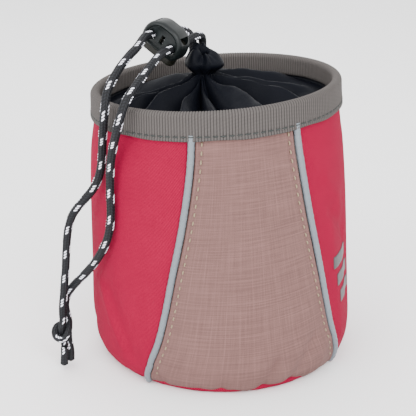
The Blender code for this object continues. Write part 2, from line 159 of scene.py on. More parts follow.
class Graph:
    """One material's nodes round a Principled shader."""

    def __init__(self, name: str) -> None:
        """Start a material with nodes."""
        self.material = bpy.data.materials.new(name)
        self.material.use_nodes = True
        self.tree = self.material.node_tree
        self.shader = self.tree.nodes["Principled BSDF"]

    def feed(self, socket: bpy.types.NodeSocket, value: object) -> None:
        """Link a signal to a socket, or set the socket's own value.

        Args:
            socket: The input to feed.
            value: A Signal, a number, or a colour or vector.
        """
        if isinstance(value, Signal):
            self.tree.links.new(value.socket, socket)
        else:
            socket.default_value = value

    def node(self, kind: str, settings: dict | None = None, inputs: dict | None = None,
             output: int | str = 0) -> Signal:
        """Add a node.

        Args:
            kind: The node's type.
            settings: Its properties, set first.
            inputs: Values or signals by socket index or name.
            output: The socket to return.

        Returns:
            The output as a signal.
        """
        made = self.tree.nodes.new(kind)
        for key, value in (settings or {}).items():
            setattr(made, key, value)
        for key, value in (inputs or {}).items():
            self.feed(made.inputs[key], value)
        return Signal(self, made.outputs[output])

    def calc(self, operation: str, *values: Signal | float) -> Signal:
        """Add a Math node.

        Args:
            operation: Its operation.
            values: Its operands in order.

        Returns:
            The result.
        """
        return self.node("ShaderNodeMath", {"operation": operation}, dict(enumerate(values)))

    def blend(self, share: Signal | float, first: Signal | Color, second: Signal | Color) -> Signal:
        """Mix two colours.

        Args:
            share: 0 gives the first colour and 1 the second.
            first: Colour at 0.
            second: Colour at 1.

        Returns:
            The mixed colour.
        """
        pair = [value if isinstance(value, Signal) else (*value, 1.0) for value in (first, second)]
        return self.node("ShaderNodeMix", {"data_type": "RGBA"}, {0: share, 6: pair[0], 7: pair[1]}, 2)

    def cloth(self) -> tuple[Signal, Signal]:
        """Return the distances across and along the piece, from its UV map."""
        split = self.node("ShaderNodeSeparateXYZ", None, {0: self.node("ShaderNodeUVMap")})
        return split, Signal(self, split.socket.node.outputs[1])

    def place(self) -> Signal:
        """Return the object coordinates."""
        return self.node("ShaderNodeTexCoord", None, None, "Object")

    def noise(self, size: float, detail: float = 2.0, vector: Signal | None = None) -> Signal:
        """Make noise of one grain size.

        Args:
            size: Width of a grain in metres.
            detail: Number of finer layers.
            vector: Coordinates, or None for the object's own.

        Returns:
            Noise from 0 to 1.
        """
        inputs = {"Vector": vector or self.place(), "Scale": 1.0 / size, "Detail": detail}
        return self.node("ShaderNodeTexNoise", None, inputs)

    def bump(self, height: Signal, depth: float, strength: float = 1.0) -> None:
        """Raise the surface by a height.

        Args:
            height: Height from 0 to 1.
            depth: Distance that 1 stands for, in metres.
            strength: Share of the effect.
        """
        inputs = {"Strength": strength, "Distance": depth, "Height": height}
        self.feed(self.shader.inputs["Normal"], self.node("ShaderNodeBump", None, inputs))

    def surface(self, **values: object) -> bpy.types.Material:
        """Set the shader's sockets, with underscores for spaces, and return the material."""
        for key, value in values.items():
            socket = self.shader.inputs[key.replace("_", " ").title().replace("Ior", "IOR")]
            color = isinstance(value, tuple) and len(value) == 3 and socket.type == "RGBA"
            self.feed(socket, (*value, 1.0) if color else value)
        return self.material


def darker(color: Color, share: float) -> Color:
    """Scale a colour's brightness."""
    return tuple(value * share for value in color)


# ---------------------------------------------------------------- finishes


@dataclass(frozen=True)
class SoftshellFinish:
    """Brushed twill with a light melange, as on the side panels and the base."""

    name: str
    color: Color
    rib: float = 0.62 * MM
    roughness: float = 0.82

    def material(self) -> bpy.types.Material:
        """Build the twill."""
        graph = Graph(self.name)
        across, along = graph.cloth()
        twill = ((across + along * 0.55) * (TURN / self.rib)).sin() * 0.5 + 0.5
        cross = ((along - across * 0.2) * (TURN / (self.rib * 0.8))).sin() * 0.5 + 0.5
        fibre = graph.noise(0.35 * MM, 3.0)
        patches = graph.noise(9 * MM, 3.0)
        weave = twill * 0.5 + cross * 0.2 + fibre * 0.6
        light = graph.blend(weave.ramp(0.25, 1.0), darker(self.color, 0.55), darker(self.color, 1.30))
        color = graph.blend(patches.ramp(0.3, 0.75) * 0.22, light, darker(self.color, 0.72))
        graph.bump(weave, 0.20 * MM, 0.9)
        return graph.surface(base_color=color, roughness=self.roughness, specular_ior_level=0.06)


@dataclass(frozen=True)
class RipstopFinish:
    """Plain weave with slubs and a stronger thread every few millimetres."""

    name: str
    color: Color
    thread: float = 0.45 * MM
    box: float = 4.6 * MM

    def material(self) -> bpy.types.Material:
        """Build the ripstop."""
        graph = Graph(self.name)
        across, along = graph.cloth()
        warp = (across * (TURN / self.thread)).sin()
        weft = (along * (TURN / self.thread)).sin()
        plain = warp * weft * 0.5 + 0.5
        slub_rows = graph.node("ShaderNodeCombineXYZ", None, {0: across * 0.03, 1: along})
        slub_columns = graph.node("ShaderNodeCombineXYZ", None, {0: across, 1: along * 0.04})
        rows = graph.noise(0.55 * MM, 2.0, slub_rows)
        columns = graph.noise(0.6 * MM, 2.0, slub_columns)
        heavy_row = 1 - abs((along / self.box).fraction() - 0.5).ramp(0.0, 0.06)
        heavy_column = 1 - abs((across / self.box).fraction() - 0.5).ramp(0.0, 0.06)
        grid = heavy_row.math("MAXIMUM", heavy_column)
        patches = graph.noise(14 * MM, 2.0)
        weave = plain * 0.30 + rows * 0.55 + columns * 0.35 + grid * 0.10
        light = graph.blend(weave.ramp(0.3, 0.9), darker(self.color, 0.68), darker(self.color, 1.30))
        color = graph.blend(patches.ramp(0.35, 0.8) * 0.25, light, darker(self.color, 0.78))
        graph.bump(weave, 0.07 * MM, 0.6)
        return graph.surface(base_color=color, roughness=0.74, specular_ior_level=0.12)


@dataclass(frozen=True)
class GrosgrainFinish:
    """Ribbed tape of one pitch across the piece, with painted shade darkening the gaps between its ribs."""

    name: str
    color: Color
    pitch: float
    gap_shade_share: float = 0.34

    def material(self) -> bpy.types.Material:
        """Build the tape."""
        graph = Graph(self.name)
        across, along = graph.cloth()
        rib = (across * (math.pi / self.pitch)).sin().math("ABSOLUTE")
        yarn = (along * (TURN / (0.5 * MM)) + across * (TURN / (2 * self.pitch))).sin() * 0.5 + 0.5
        fibre = graph.noise(0.3 * MM, 2.0)
        patches = graph.noise(6 * MM, 2.0)
        depth = rib.ramp(0.1, 0.75) * (yarn * 0.45 + 0.55)
        light = graph.blend(yarn * 0.35 + fibre * 0.5, darker(self.color, 0.82), darker(self.color, 1.30))
        # Painted shade: the gaps between the ribs are darkened in the colour, and the ribs stay light.
        color = graph.blend(depth, darker(self.color, self.gap_shade_share), light)
        color = graph.blend(patches.ramp(0.4, 0.8) * 0.3, color, darker(self.color, 0.7))
        graph.bump(rib * 0.6 + yarn * 0.3 + fibre * 0.2, 0.10 * MM, 0.6)
        return graph.surface(base_color=color, roughness=0.72, specular_ior_level=0.12)


@dataclass(frozen=True)
class NylonFinish:
    """Thin, tightly woven nylon with a soft gloss."""

    name: str
    color: Color
    thread: float = 0.30 * MM
    roughness: float = 0.46

    def material(self) -> bpy.types.Material:
        """Build the nylon."""
        graph = Graph(self.name)
        across, along = graph.cloth()
        plain = (across * (TURN / self.thread)).sin() * (along * (TURN / self.thread)).sin() * 0.5 + 0.5
        wrinkle = graph.noise(2.2 * MM, 4.0)
        patches = graph.noise(11 * MM, 2.0)
        color = graph.blend(plain * 0.3 + patches * 0.5, darker(self.color, 0.8), darker(self.color, 1.45))
        graph.bump(wrinkle * 0.9 + plain * 0.08, 0.28 * MM, 0.5)
        return graph.surface(base_color=color, roughness=self.roughness, specular_ior_level=0.045)


@dataclass(frozen=True)
class BraidFinish:
    """Black round braid with pale tracer yarns that come up in staggered pairs."""

    name: str
    dark: Color
    pale: Color
    stitch: float
    tracer_repeat: int = 9
    tracer_stitches: int = 3
    tracer_stagger: int = 2

    def material(self) -> bpy.types.Material:
        """Build the braid; across is in turns and along in metres."""
        graph = Graph(self.name)
        across, along = graph.cloth()
        column = across * BRAID_COLUMNS
        offset = column.fraction() - 0.5
        second = (column * 0.5).fraction() > 0.5
        slant = (second * 2 - 1) * offset * BRAID_SLOPE
        phase = along / self.stitch + slant
        crown = (offset * math.pi).cos().math("POWER", 0.6)
        strand = ((phase * TURN).cos() * 0.5 + 0.5) * crown
        late = ((column * 0.25).fraction() > 0.5) * self.tracer_stagger
        row = (phase + 0.5).math("FLOOR") + late
        dash = (row / self.tracer_repeat + 0.02).fraction() < (self.tracer_stitches / self.tracer_repeat)
        tracer = dash * (1 - second) * strand.ramp(0.10, 0.30)
        fibre = graph.noise(0.25 * MM, 2.0)
        # Painted light: each strand's crown is painted lighter, as a highlight, and its sides and the gaps
        # between strands darker, as shade. The fibre noise is the yarn's own tone. The pale tracers get the
        # same painted shade at their sides.
        dark = graph.blend(strand * (fibre * 0.6 + 0.7), darker(self.dark, 0.25), darker(self.dark, 2.6))
        pale = graph.blend(strand.ramp(0.1, 0.7), darker(self.pale, 0.5), self.pale)
        graph.bump(strand * 0.8 + fibre * 0.3, 0.12 * MM, 0.6)
        return graph.surface(base_color=graph.blend(tracer, dark, pale), roughness=0.6,
                             specular_ior_level=0.22)


@dataclass(frozen=True)
class ReflectiveFinish:
    """Grey retroreflective film: fine glass beads on a cloth backing."""

    name: str
    color: Color
    roughness: float = 0.42
    metallic: float = 0.25

    def material(self) -> bpy.types.Material:
        """Build the film."""
        graph = Graph(self.name)
        beads = graph.noise(0.22 * MM, 1.0)
        scuff = graph.noise(4 * MM, 3.0)
        light = graph.blend(beads.ramp(0.3, 0.7), darker(self.color, 0.85), darker(self.color, 1.12))
        color = graph.blend(scuff.ramp(0.5, 0.8) * 0.35, light, darker(self.color, 0.8))
        graph.bump(beads, 0.03 * MM, 0.5)
        return graph.surface(base_color=color, roughness=self.roughness, metallic=self.metallic,
                             specular_ior_level=0.25)


@dataclass(frozen=True)
class MouldedFinish:
    """Satin moulded plastic with a faint texture and a painted highlight on its convex edges."""

    name: str
    color: Color
    roughness: float

    def material(self) -> bpy.types.Material:
        """Build the plastic."""
        graph = Graph(self.name)
        grain = graph.noise(0.12 * MM, 2.0)
        haze = graph.noise(3 * MM, 3.0)
        # Painted highlight: convex edges, found by their pointiness, are painted paler.
        edge = graph.node("ShaderNodeNewGeometry", None, None, "Pointiness").ramp(0.52, 0.60)
        color = graph.blend(haze, darker(self.color, 0.85), darker(self.color, 1.2))
        color = graph.blend(edge * 0.5, color, darker(self.color, 1.9))
        graph.bump(grain, 0.02 * MM, 0.5)
        rough = haze * 0.18 + (self.roughness - 0.09)
        return graph.surface(base_color=color, roughness=rough, specular_ior_level=0.22)


@dataclass(frozen=True)
class SteelFinish:
    """Plated wire with a faint haze and a few scuffs."""

    name: str
    color: Color = (0.34, 0.34, 0.36)

    def material(self) -> bpy.types.Material:
        """Build the plating."""
        graph = Graph(self.name)
        haze = graph.noise(1.5 * MM, 4.0)
        scuff = graph.noise(0.3 * MM, 2.0)
        color = graph.blend(haze, darker(self.color, 0.82), self.color)
        graph.bump(scuff, 0.01 * MM, 0.4)
        return graph.surface(base_color=color, roughness=scuff * 0.15 + 0.18, metallic=1.0)


@dataclass(frozen=True)
class ThreadFinish:
    """Twisted sewing thread."""

    name: str
    color: Color

    def material(self) -> bpy.types.Material:
        """Build the thread; across is in turns and along in metres."""
        graph = Graph(self.name)
        across, along = graph.cloth()
        ply = ((across + along / (0.9 * MM)) * TURN * 2).sin() * 0.5 + 0.5
        fibre = graph.noise(0.2 * MM, 2.0)
        color = graph.blend(ply * 0.6 + fibre * 0.4, darker(self.color, 0.62), self.color)
        graph.bump(ply, 0.05 * MM, 0.7)
        return graph.surface(base_color=color, roughness=0.6, specular_ior_level=0.2)


@dataclass(frozen=True)
class CoreFinish:
    """Open-cell foam, or pressed board where the cells are small and shallow."""

    name: str
    color: Color
    cell: float
    depth: float

    def material(self) -> bpy.types.Material:
        """Build the cells."""
        graph = Graph(self.name)
        inputs = {"Vector": graph.place(), "Scale": 1.0 / self.cell}
        cells = graph.node("ShaderNodeTexVoronoi", None, inputs)
        stain = graph.noise(12 * MM, 2.0)
        color = graph.blend(cells.ramp(0.1, 0.6), darker(self.color, 0.7), self.color)
        color = graph.blend(stain * 0.3, color, darker(self.color, 0.85))
        graph.bump(cells, self.depth, 0.6)
        return graph.surface(base_color=color, roughness=0.92)


BRAID_COLUMNS = 8
BRAID_STITCH = 1.2 * MM
BRAID_SLOPE = 0.9
CORD_RADIUS = 1.65 * MM
RIB_COUNT = 284
TAPE_RADIUS = 49.9 * MM
RIB_PITCH = TURN * TAPE_RADIUS / RIB_COUNT

RED = SoftshellFinish("red_softshell_twill", (0.240, 0.0028, 0.0285))
TAUPE = RipstopFinish("taupe_ripstop_weave", (0.132, 0.071, 0.064))
TAPE = GrosgrainFinish("grosgrain_tape_ribs", (0.081, 0.0725, 0.069), RIB_PITCH)
COLLAR_NYLON = NylonFinish("collar_nylon_weave", (0.0028, 0.0033, 0.0054))
LINING_NYLON = NylonFinish("lining_nylon_weave", (0.006, 0.006, 0.007), roughness=0.6)
BRAID = BraidFinish("drawstring_braid_yarns", (0.0042, 0.0046, 0.0062), (0.85, 0.86, 0.95), BRAID_STITCH)
PIPING = ReflectiveFinish("reflective_piping_film", (0.150, 0.170, 0.190))
MARK = ReflectiveFinish("reflective_mark_film", (0.055, 0.052, 0.055), 0.5, 0.1)
LOCK = MouldedFinish("lock_plastic_satin", (0.0044, 0.0062, 0.0064), 0.36)
PRESS = MouldedFinish("plunger_plastic_satin", (0.0075, 0.0075, 0.0052), 0.45)
STEEL = SteelFinish("plated_steel_wire")
CREAM_THREAD = ThreadFinish("cream_topstitch_thread", (0.27, 0.205, 0.135))
GREY_THREAD = ThreadFinish("grey_binding_thread", (0.035, 0.040, 0.038))
BLACK_THREAD = ThreadFinish("black_webbing_thread", (0.020, 0.020, 0.022))
# The 0.5 sets the painted shade in the gaps between the webbing's ribs.
WEBBING = GrosgrainFinish("black_webbing_ribs", (0.014, 0.014, 0.016), 1.5 * MM, 0.5)
FOAM = CoreFinish("foam_cells", (0.40, 0.39, 0.36), 0.5 * MM, 0.15 * MM)
BOARD = CoreFinish("pressed_board_fibres", (0.28, 0.25, 0.20), 0.25 * MM, 0.04 * MM)


class Wardrobe:
    """Builds each finish's material once and dresses pieces in it."""

    def __init__(self) -> None:
        """Start with nothing built."""
        self.made: dict[str, bpy.types.Material] = {}

    def dress(self, piece: bpy.types.Object, finish: object) -> None:
        """Give a piece one material.

        Args:
            piece: The finished mesh.
            finish: A finish with a name and a material method.
        """
        if finish.name not in self.made:
            self.made[finish.name] = finish.material()
        piece.data.materials.clear()
        piece.data.materials.append(self.made[finish.name])


WARDROBE = Wardrobe()


def seat(piece: bpy.types.Object, body: Body, finish: object, nodes: Iterable[str] = ()) -> None:
    """Dress a finished piece and fix it to its body.

    Args:
        piece: The piece, in place.
        body: The body that it rides on.
        finish: Its finish.
        nodes: CAD nodes that it stands for.
    """
    WARDROBE.dress(piece, finish)
    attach(piece, body.value)
    if nodes:
        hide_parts(*nodes)
    LOG.info("%s rides on %s, %d faces", piece.name, body.value, len(piece.data.polygons))


# ---------------------------------------------------------------- mesh helpers


class Skin:
    """Collects grids of points into one closed mesh with a UV map in metres."""

    def __init__(self) -> None:
        """Start empty."""
        self.points: list[np.ndarray] = []
        self.faces: list[list[int]] = []
        self.corners: list[list[tuple[float, float]]] = []
        self.count = 0

    def grid(self, points: np.ndarray, uv: np.ndarray, wrap: bool = False, loop: bool = False) -> np.ndarray:
        """Add a grid of quads.

        Args:
            points: Rows by columns by 3.
            uv: Rows by columns by 2, with one more row or column where the grid closes.
            wrap: Whether the last column joins the first.
            loop: Whether the last row joins the first.

        Returns:
            The points' indices, rows by columns.
        """
        rows, columns = points.shape[:2]
        index = self.count + np.arange(rows * columns).reshape(rows, columns)
        self.points.append(points.reshape(-1, 3))
        self.count += rows * columns
        for row in range(rows if loop else rows - 1):
            above = (row + 1) % rows
            for column in range(columns if wrap else columns - 1):
                right = (column + 1) % columns
                self.faces.append([index[row, column], index[row, right], index[above, right],
                                   index[above, column]])
                spots = ((row, column), (row, column + 1), (row + 1, column + 1), (row + 1, column))
                self.corners.append([tuple(uv[spot]) for spot in spots])
        return index

    def bridge(self, first: Sequence[int], second: Sequence[int], first_uv: np.ndarray,
               second_uv: np.ndarray) -> None:
        """Join two equal lines of points with quads.

        Args:
            first: Indices of one line.
            second: Indices of the other.
            first_uv: UV of the first line.
            second_uv: UV of the second.
        """
        for step in range(len(first) - 1):
            self.faces.append([first[step], first[step + 1], second[step + 1], second[step]])
            spots = (first_uv[step], first_uv[step + 1], second_uv[step + 1], second_uv[step])
            self.corners.append([tuple(spot) for spot in spots])

    def pole(self, ring: Sequence[int], centre: np.ndarray, uv: tuple[float, float]) -> None:
        """Close a ring with a fan to a centre point.

        Args:
            ring: Indices in order.
            centre: The centre point.
            uv: UV of the fan.
        """
        self.points.append(np.asarray(centre).reshape(1, 3))
        for step in range(len(ring)):
            self.faces.append([ring[step], ring[(step + 1) % len(ring)], self.count])
            self.corners.append([uv] * 3)
        self.count += 1

    def build(self, name: str) -> bpy.types.Object:
        """Make the object, with its faces turned outwards.

        Args:
            name: The object's name.

        Returns:
            The linked object.
        """
        mesh = bpy.data.meshes.new(name)
        faces = [[int(index) for index in face] for face in self.faces]
        mesh.from_pydata(np.concatenate(self.points).tolist(), [], faces)
        layer = mesh.uv_layers.new(name="weave")
        flat = np.array([value for face in self.corners for spot in face for value in spot], np.float32)
        layer.data.foreach_set("uv", flat)
        tidy = bmesh.new()
        tidy.from_mesh(mesh)
        bmesh.ops.recalc_face_normals(tidy, faces=tidy.faces)
        if tidy.calc_volume(signed=True) < 0:
            bmesh.ops.reverse_faces(tidy, faces=tidy.faces)
        tidy.to_mesh(mesh)
        tidy.free()
        mesh.shade_smooth()
        piece = bpy.data.objects.new(name, mesh)
        bpy.context.scene.collection.objects.link(piece)
        return piece


def distances(points: np.ndarray) -> np.ndarray:
    """Running length along a line of points."""
    steps = np.linalg.norm(np.diff(points, axis=0), axis=1)
    return np.concatenate([[0.0], np.cumsum(steps)])


def cloth_slab(name: str, outer: np.ndarray, inner: np.ndarray, wrap: bool = False) -> bpy.types.Object:
    """Make a sheet of cloth with a rounded edge from its two faces.

    Args:
        name: The object's name.
        outer: Points of the outer face, rows by columns by 3.
        inner: The matching points of the inner face.
        wrap: Whether the columns close into a ring.

    Returns:
        The sheet.
    """
    skin = Skin()
    ring = np.concatenate([outer, outer[:, :1]], axis=1) if wrap else outer
    middle = ring[len(ring) // 2]
    across = np.broadcast_to(distances(middle), ring.shape[:2])
    along = np.stack([distances(ring[:, column]) for column in range(ring.shape[1])], axis=1)
    along = along - along[-1:]
    uv = np.stack([across, along], axis=2)
    front = skin.grid(outer, uv, wrap)
    back = skin.grid(inner, uv, wrap)
    for edge in (0, -1):
        first, second = front[edge], back[edge]
        if wrap:
            first, second = np.append(first, first[0]), np.append(second, second[0])
        skin.bridge(first, second, uv[edge], uv[edge])
    if not wrap:
        for edge in (0, -1):
            skin.bridge(front[:, edge], back[:, edge], uv[:, edge], uv[:, edge])
    return skin.build(name)


def smooth_route(points: Route, spacing: float) -> np.ndarray:
    """Points about spacing apart on a smooth curve through the given ones.

    Args:
        points: The route's own points.
        spacing: Distance between the points to return.

    Returns:
        The points, one a row.
    """
    route = np.array(points, float)
    ends = np.vstack([2 * route[0] - route[1], route, 2 * route[-1] - route[-2]])
    dense = []
    for index in range(1, len(ends) - 2):
        p0, p1, p2, p3 = ends[index - 1:index + 3]
        for s in np.linspace(0, 1, 24, endpoint=False):
            dense.append(0.5 * (2 * p1 + (p2 - p0) * s + (2 * p0 - 5 * p1 + 4 * p2 - p3) * s * s
                                + (3 * p1 - p0 - 3 * p2 + p3) * s ** 3))
    dense = np.array([*dense, route[-1]])
    along = distances(dense)
    stops = np.linspace(0, along[-1], max(3, round(along[-1] / spacing) + 1))
    return np.stack([np.interp(stops, along, dense[:, axis]) for axis in range(3)], axis=1)


def carried_frames(path: np.ndarray) -> tuple[np.ndarray, np.ndarray]:
    """Two unit directions across a path that turn with it and never twist.

    Args:
        path: Points, one a row.

    Returns:
        The two directions at each point.
    """
    tangents = np.gradient(path, axis=0)
    tangents /= np.linalg.norm(tangents, axis=1, keepdims=True)
    start = np.cross(tangents[0], (0.0, 0.0, 1.0) if abs(tangents[0][2]) < 0.9 else (1.0, 0.0, 0.0))
    first = [start / np.linalg.norm(start)]
    for tangent in tangents[1:]:
        kept = first[-1] - tangent * (first[-1] @ tangent)
        first.append(kept / np.linalg.norm(kept))
    first = np.array(first)
    return first, np.cross(tangents, first)


def tube(name: str, path: np.ndarray, radii: np.ndarray, phase: float = 0.0) -> bpy.types.Object:
    """Make a tube round a path.

    Args:
        name: The object's name.
        path: Points, one a row.
        radii: Radius at each point and side, points by sides.
        phase: Turn of the first side round the path, in turns.

    Returns:
        The tube, whose UV is turns across and metres along.
    """
    sides = radii.shape[1]
    first, second = carried_frames(path)
    turn = TURN * (np.arange(sides) / sides + phase)
    spokes = first[:, None] * np.cos(turn)[None, :, None] + second[:, None] * np.sin(turn)[None, :, None]
    points = path[:, None] + spokes * radii[:, :, None]
    along = distances(path)
    across = np.arange(sides + 1) / sides
    uv = np.stack(np.broadcast_arrays(across[None, :], along[:, None]), axis=2)
    skin = Skin()
    rings = skin.grid(points, uv, wrap=True)
    skin.pole(rings[0], path[0], (0.0, 0.0))
    skin.pole(rings[-1], path[-1], (0.0, float(along[-1])))
    return skin.build(name)


def join(pieces: Sequence[bpy.types.Object], name: str) -> bpy.types.Object:
    """Join several meshes into one named object.

    Args:
        pieces: The meshes.
        name: The name of the result.

    Returns:
        The joined object.
    """
    bpy.ops.object.select_all(action="DESELECT")
    for piece in pieces:
        piece.select_set(True)
    bpy.context.view_layer.objects.active = pieces[0]
    if len(pieces) > 1:
        bpy.ops.object.join()
    pieces[0].name = name
    pieces[0].data.name = name
    return pieces[0]


class Bench:
    """One hard piece under hand work in edit mode."""

    def __init__(self, name: str) -> None:
        """Take over the primitive that was just added, with its place in its mesh."""
        self.piece = bpy.context.object
        self.piece.name = name
        bpy.ops.object.transform_apply(location=True, rotation=True, scale=True)

    @staticmethod
    def clear() -> None:
        """Deselect everything."""
        bpy.ops.object.select_all(action="DESELECT")

    @classmethod
    def block(cls, name: str, low: Vector, high: Vector) -> "Bench":
        """Start from a block between two corners.

        Args:
            name: The piece's name.
            low: Lowest corner.
            high: Highest corner.

        Returns:
            The bench with the block on it.
        """
        cls.clear()
        bpy.ops.mesh.primitive_cube_add(size=1.0, location=(low + high) / 2, scale=high - low)
        return cls(name)

    @classmethod
    def rod(cls, name: str, radius: float, depth: float, centre: Vector, axis: str = "Z") -> "Bench":
        """Start from a rod about a centre, along the local Y or Z axis."""
        cls.clear()
        turn = (math.pi / 2, 0.0, 0.0) if axis == "Y" else (0.0, 0.0, 0.0)
        bpy.ops.mesh.primitive_cylinder_add(vertices=40, radius=radius, depth=depth, location=centre,
                                            rotation=turn)
        return cls(name)

    def round_edges(self, test: Callable[[bmesh.types.BMEdge], bool], width: float, segments: int) -> None:
        """Bevel the edges that pass a test.

        Args:
            test: Says whether an edge is taken.
            width: Bevel width.
            segments: Number of steps round the bevel.
        """
        bpy.ops.object.mode_set(mode="EDIT")
        bpy.ops.mesh.select_mode(type="EDGE")
        bpy.ops.mesh.select_all(action="DESELECT")
        edit = bmesh.from_edit_mesh(self.piece.data)
        for edge in edit.edges:
            edge.select_set(test(edge))
        bmesh.update_edit_mesh(self.piece.data)
        bpy.ops.mesh.bevel(offset=width, segments=segments, profile=0.5)
        bpy.ops.object.mode_set(mode="OBJECT")

    def sink_faces(self, test: Callable[[bmesh.types.BMFace], bool], rim: float, depth: float) -> None:
        """Inset the faces that pass a test and push them in.

        Args:
            test: Says whether a face is taken.
            rim: Width of the rim left round each face.
            depth: How far the face is pushed in.
        """
        bpy.ops.object.mode_set(mode="EDIT")
        bpy.ops.mesh.select_mode(type="FACE")
        bpy.ops.mesh.select_all(action="DESELECT")
        edit = bmesh.from_edit_mesh(self.piece.data)
        for face in edit.faces:
            face.select_set(test(face))
        bmesh.update_edit_mesh(self.piece.data)
        bpy.ops.mesh.inset(thickness=rim, depth=-depth, use_individual=True)
        bpy.ops.object.mode_set(mode="OBJECT")

    def cut(self, tool: "Bench") -> None:
        """Take another piece's shape away from this one, and remove that piece."""
        boolean = self.piece.modifiers.new("cut", "BOOLEAN")
        boolean.operation = "DIFFERENCE"
        boolean.solver = "EXACT"
        boolean.object = tool.piece
        self.apply(boolean)
        bpy.data.objects.remove(tool.piece)

    def apply(self, modifier: bpy.types.Modifier) -> None:
        """Apply one of the piece's modifiers."""
        self.clear()
        self.piece.select_set(True)
        bpy.context.view_layer.objects.active = self.piece
        bpy.ops.object.modifier_apply(modifier=modifier.name)

    def soften(self, width: float, segments: int = 2) -> None:
        """Round every sharp edge that is left."""
        rounding = self.piece.modifiers.new("soften", "BEVEL")
        rounding.width = width
        rounding.segments = segments
        rounding.limit_method = "ANGLE"
        rounding.angle_limit = math.radians(40)
        rounding.harden_normals = False
        self.apply(rounding)

    def finish(self, place: Matrix) -> bpy.types.Object:
        """Shade the piece smooth, put its place in its mesh and hand it over.

        Args:
            place: Where the piece goes in the row frame.

        Returns:
            The finished piece.
        """
        self.clear()
        self.piece.select_set(True)
        bpy.context.view_layer.objects.active = self.piece
        bpy.ops.object.shade_smooth_by_angle(angle=math.radians(35))
        self.piece.data.transform(place)
        self.piece.data.name = self.piece.name
        return self.piece


# ---------------------------------------------------------------- camera, light and floor


@dataclass
class Studio:
    """Camera, soft lights and a pale floor."""

    eye: Vector = Vector((-89.2, -372.8, 200.5)) * MM
    heading: float = 13.0
    tilt: float = 20.78
    lens: float = 84.5
    shift: tuple[float, float] = (-0.0174, 0.0237)

    def build(self) -> None:
        """Place the camera, the lights, the world and the floor."""
        self.camera()
        self.light("key_softbox", Vector((0.10, -1.05, 0.70)), 0.9, 17.0)
        self.light("fill_softbox", Vector((-0.85, -0.55, 0.55)), 0.8, 9.0)
        self.light("top_softbox", Vector((-0.15, 0.45, 0.95)), 0.8, 5.0)
        world = bpy.data.worlds.new("studio_world")
        world.use_nodes = True
        world.node_tree.nodes["Background"].inputs["Color"].default_value = (1.0, 1.0, 1.0, 1.0)
        world.node_tree.nodes["Background"].inputs["Strength"].default_value = 2.1
        bpy.context.scene.world = world
        self.floor()

    def camera(self) -> None:
        """Aim the camera at the front panel from a little above and to the left."""
        data = bpy.data.cameras.new("studio_camera")
        data.lens = self.lens
        data.sensor_width = 36.0
        data.shift_x, data.shift_y = self.shift
        data.clip_start = 0.01
        camera = bpy.data.objects.new("studio_camera", data)
        bpy.context.scene.collection.objects.link(camera)
        turn, drop = math.radians(self.heading), math.radians(self.tilt)
        ahead = Vector((math.sin(turn) * math.cos(drop), math.cos(turn) * math.cos(drop), -math.sin(drop)))
        camera.location = self.eye
        camera.rotation_euler = ahead.to_track_quat("-Z", "Y").to_euler()
        bpy.context.scene.camera = camera

    def light(self, name: str, place: Vector, size: float, power: float) -> None:
        """Hang one square softbox that faces the pouch.

        Args:
            name: The light's name.
            place: Its centre.
            size: Its side.
            power: Its power in watts.
        """
        data = bpy.data.lights.new(name, "AREA")
        data.size = size
        data.energy = power
        lamp = bpy.data.objects.new(name, data)
        bpy.context.scene.collection.objects.link(lamp)
        lamp.location = place
        lamp.rotation_euler = (Vector((0.0, 0.0, 0.06)) - place).to_track_quat("-Z", "Y").to_euler()

    def floor(self) -> None:
        """Lay a wide pale floor."""
        Bench.clear()
        bpy.ops.mesh.primitive_plane_add(size=6.0, location=(0.0, 0.0, -0.05 * MM))
        floor = bpy.context.object
        floor.name = "studio_floor"
        graph = Graph("studio_floor_paint")
        mottle = graph.noise(0.3, 2.0)
        color = graph.blend(mottle, (0.90, 0.90, 0.91), (0.93, 0.93, 0.93))
        floor.data.materials.append(graph.surface(base_color=color, roughness=0.9))


# ---------------------------------------------------------------- drawstring


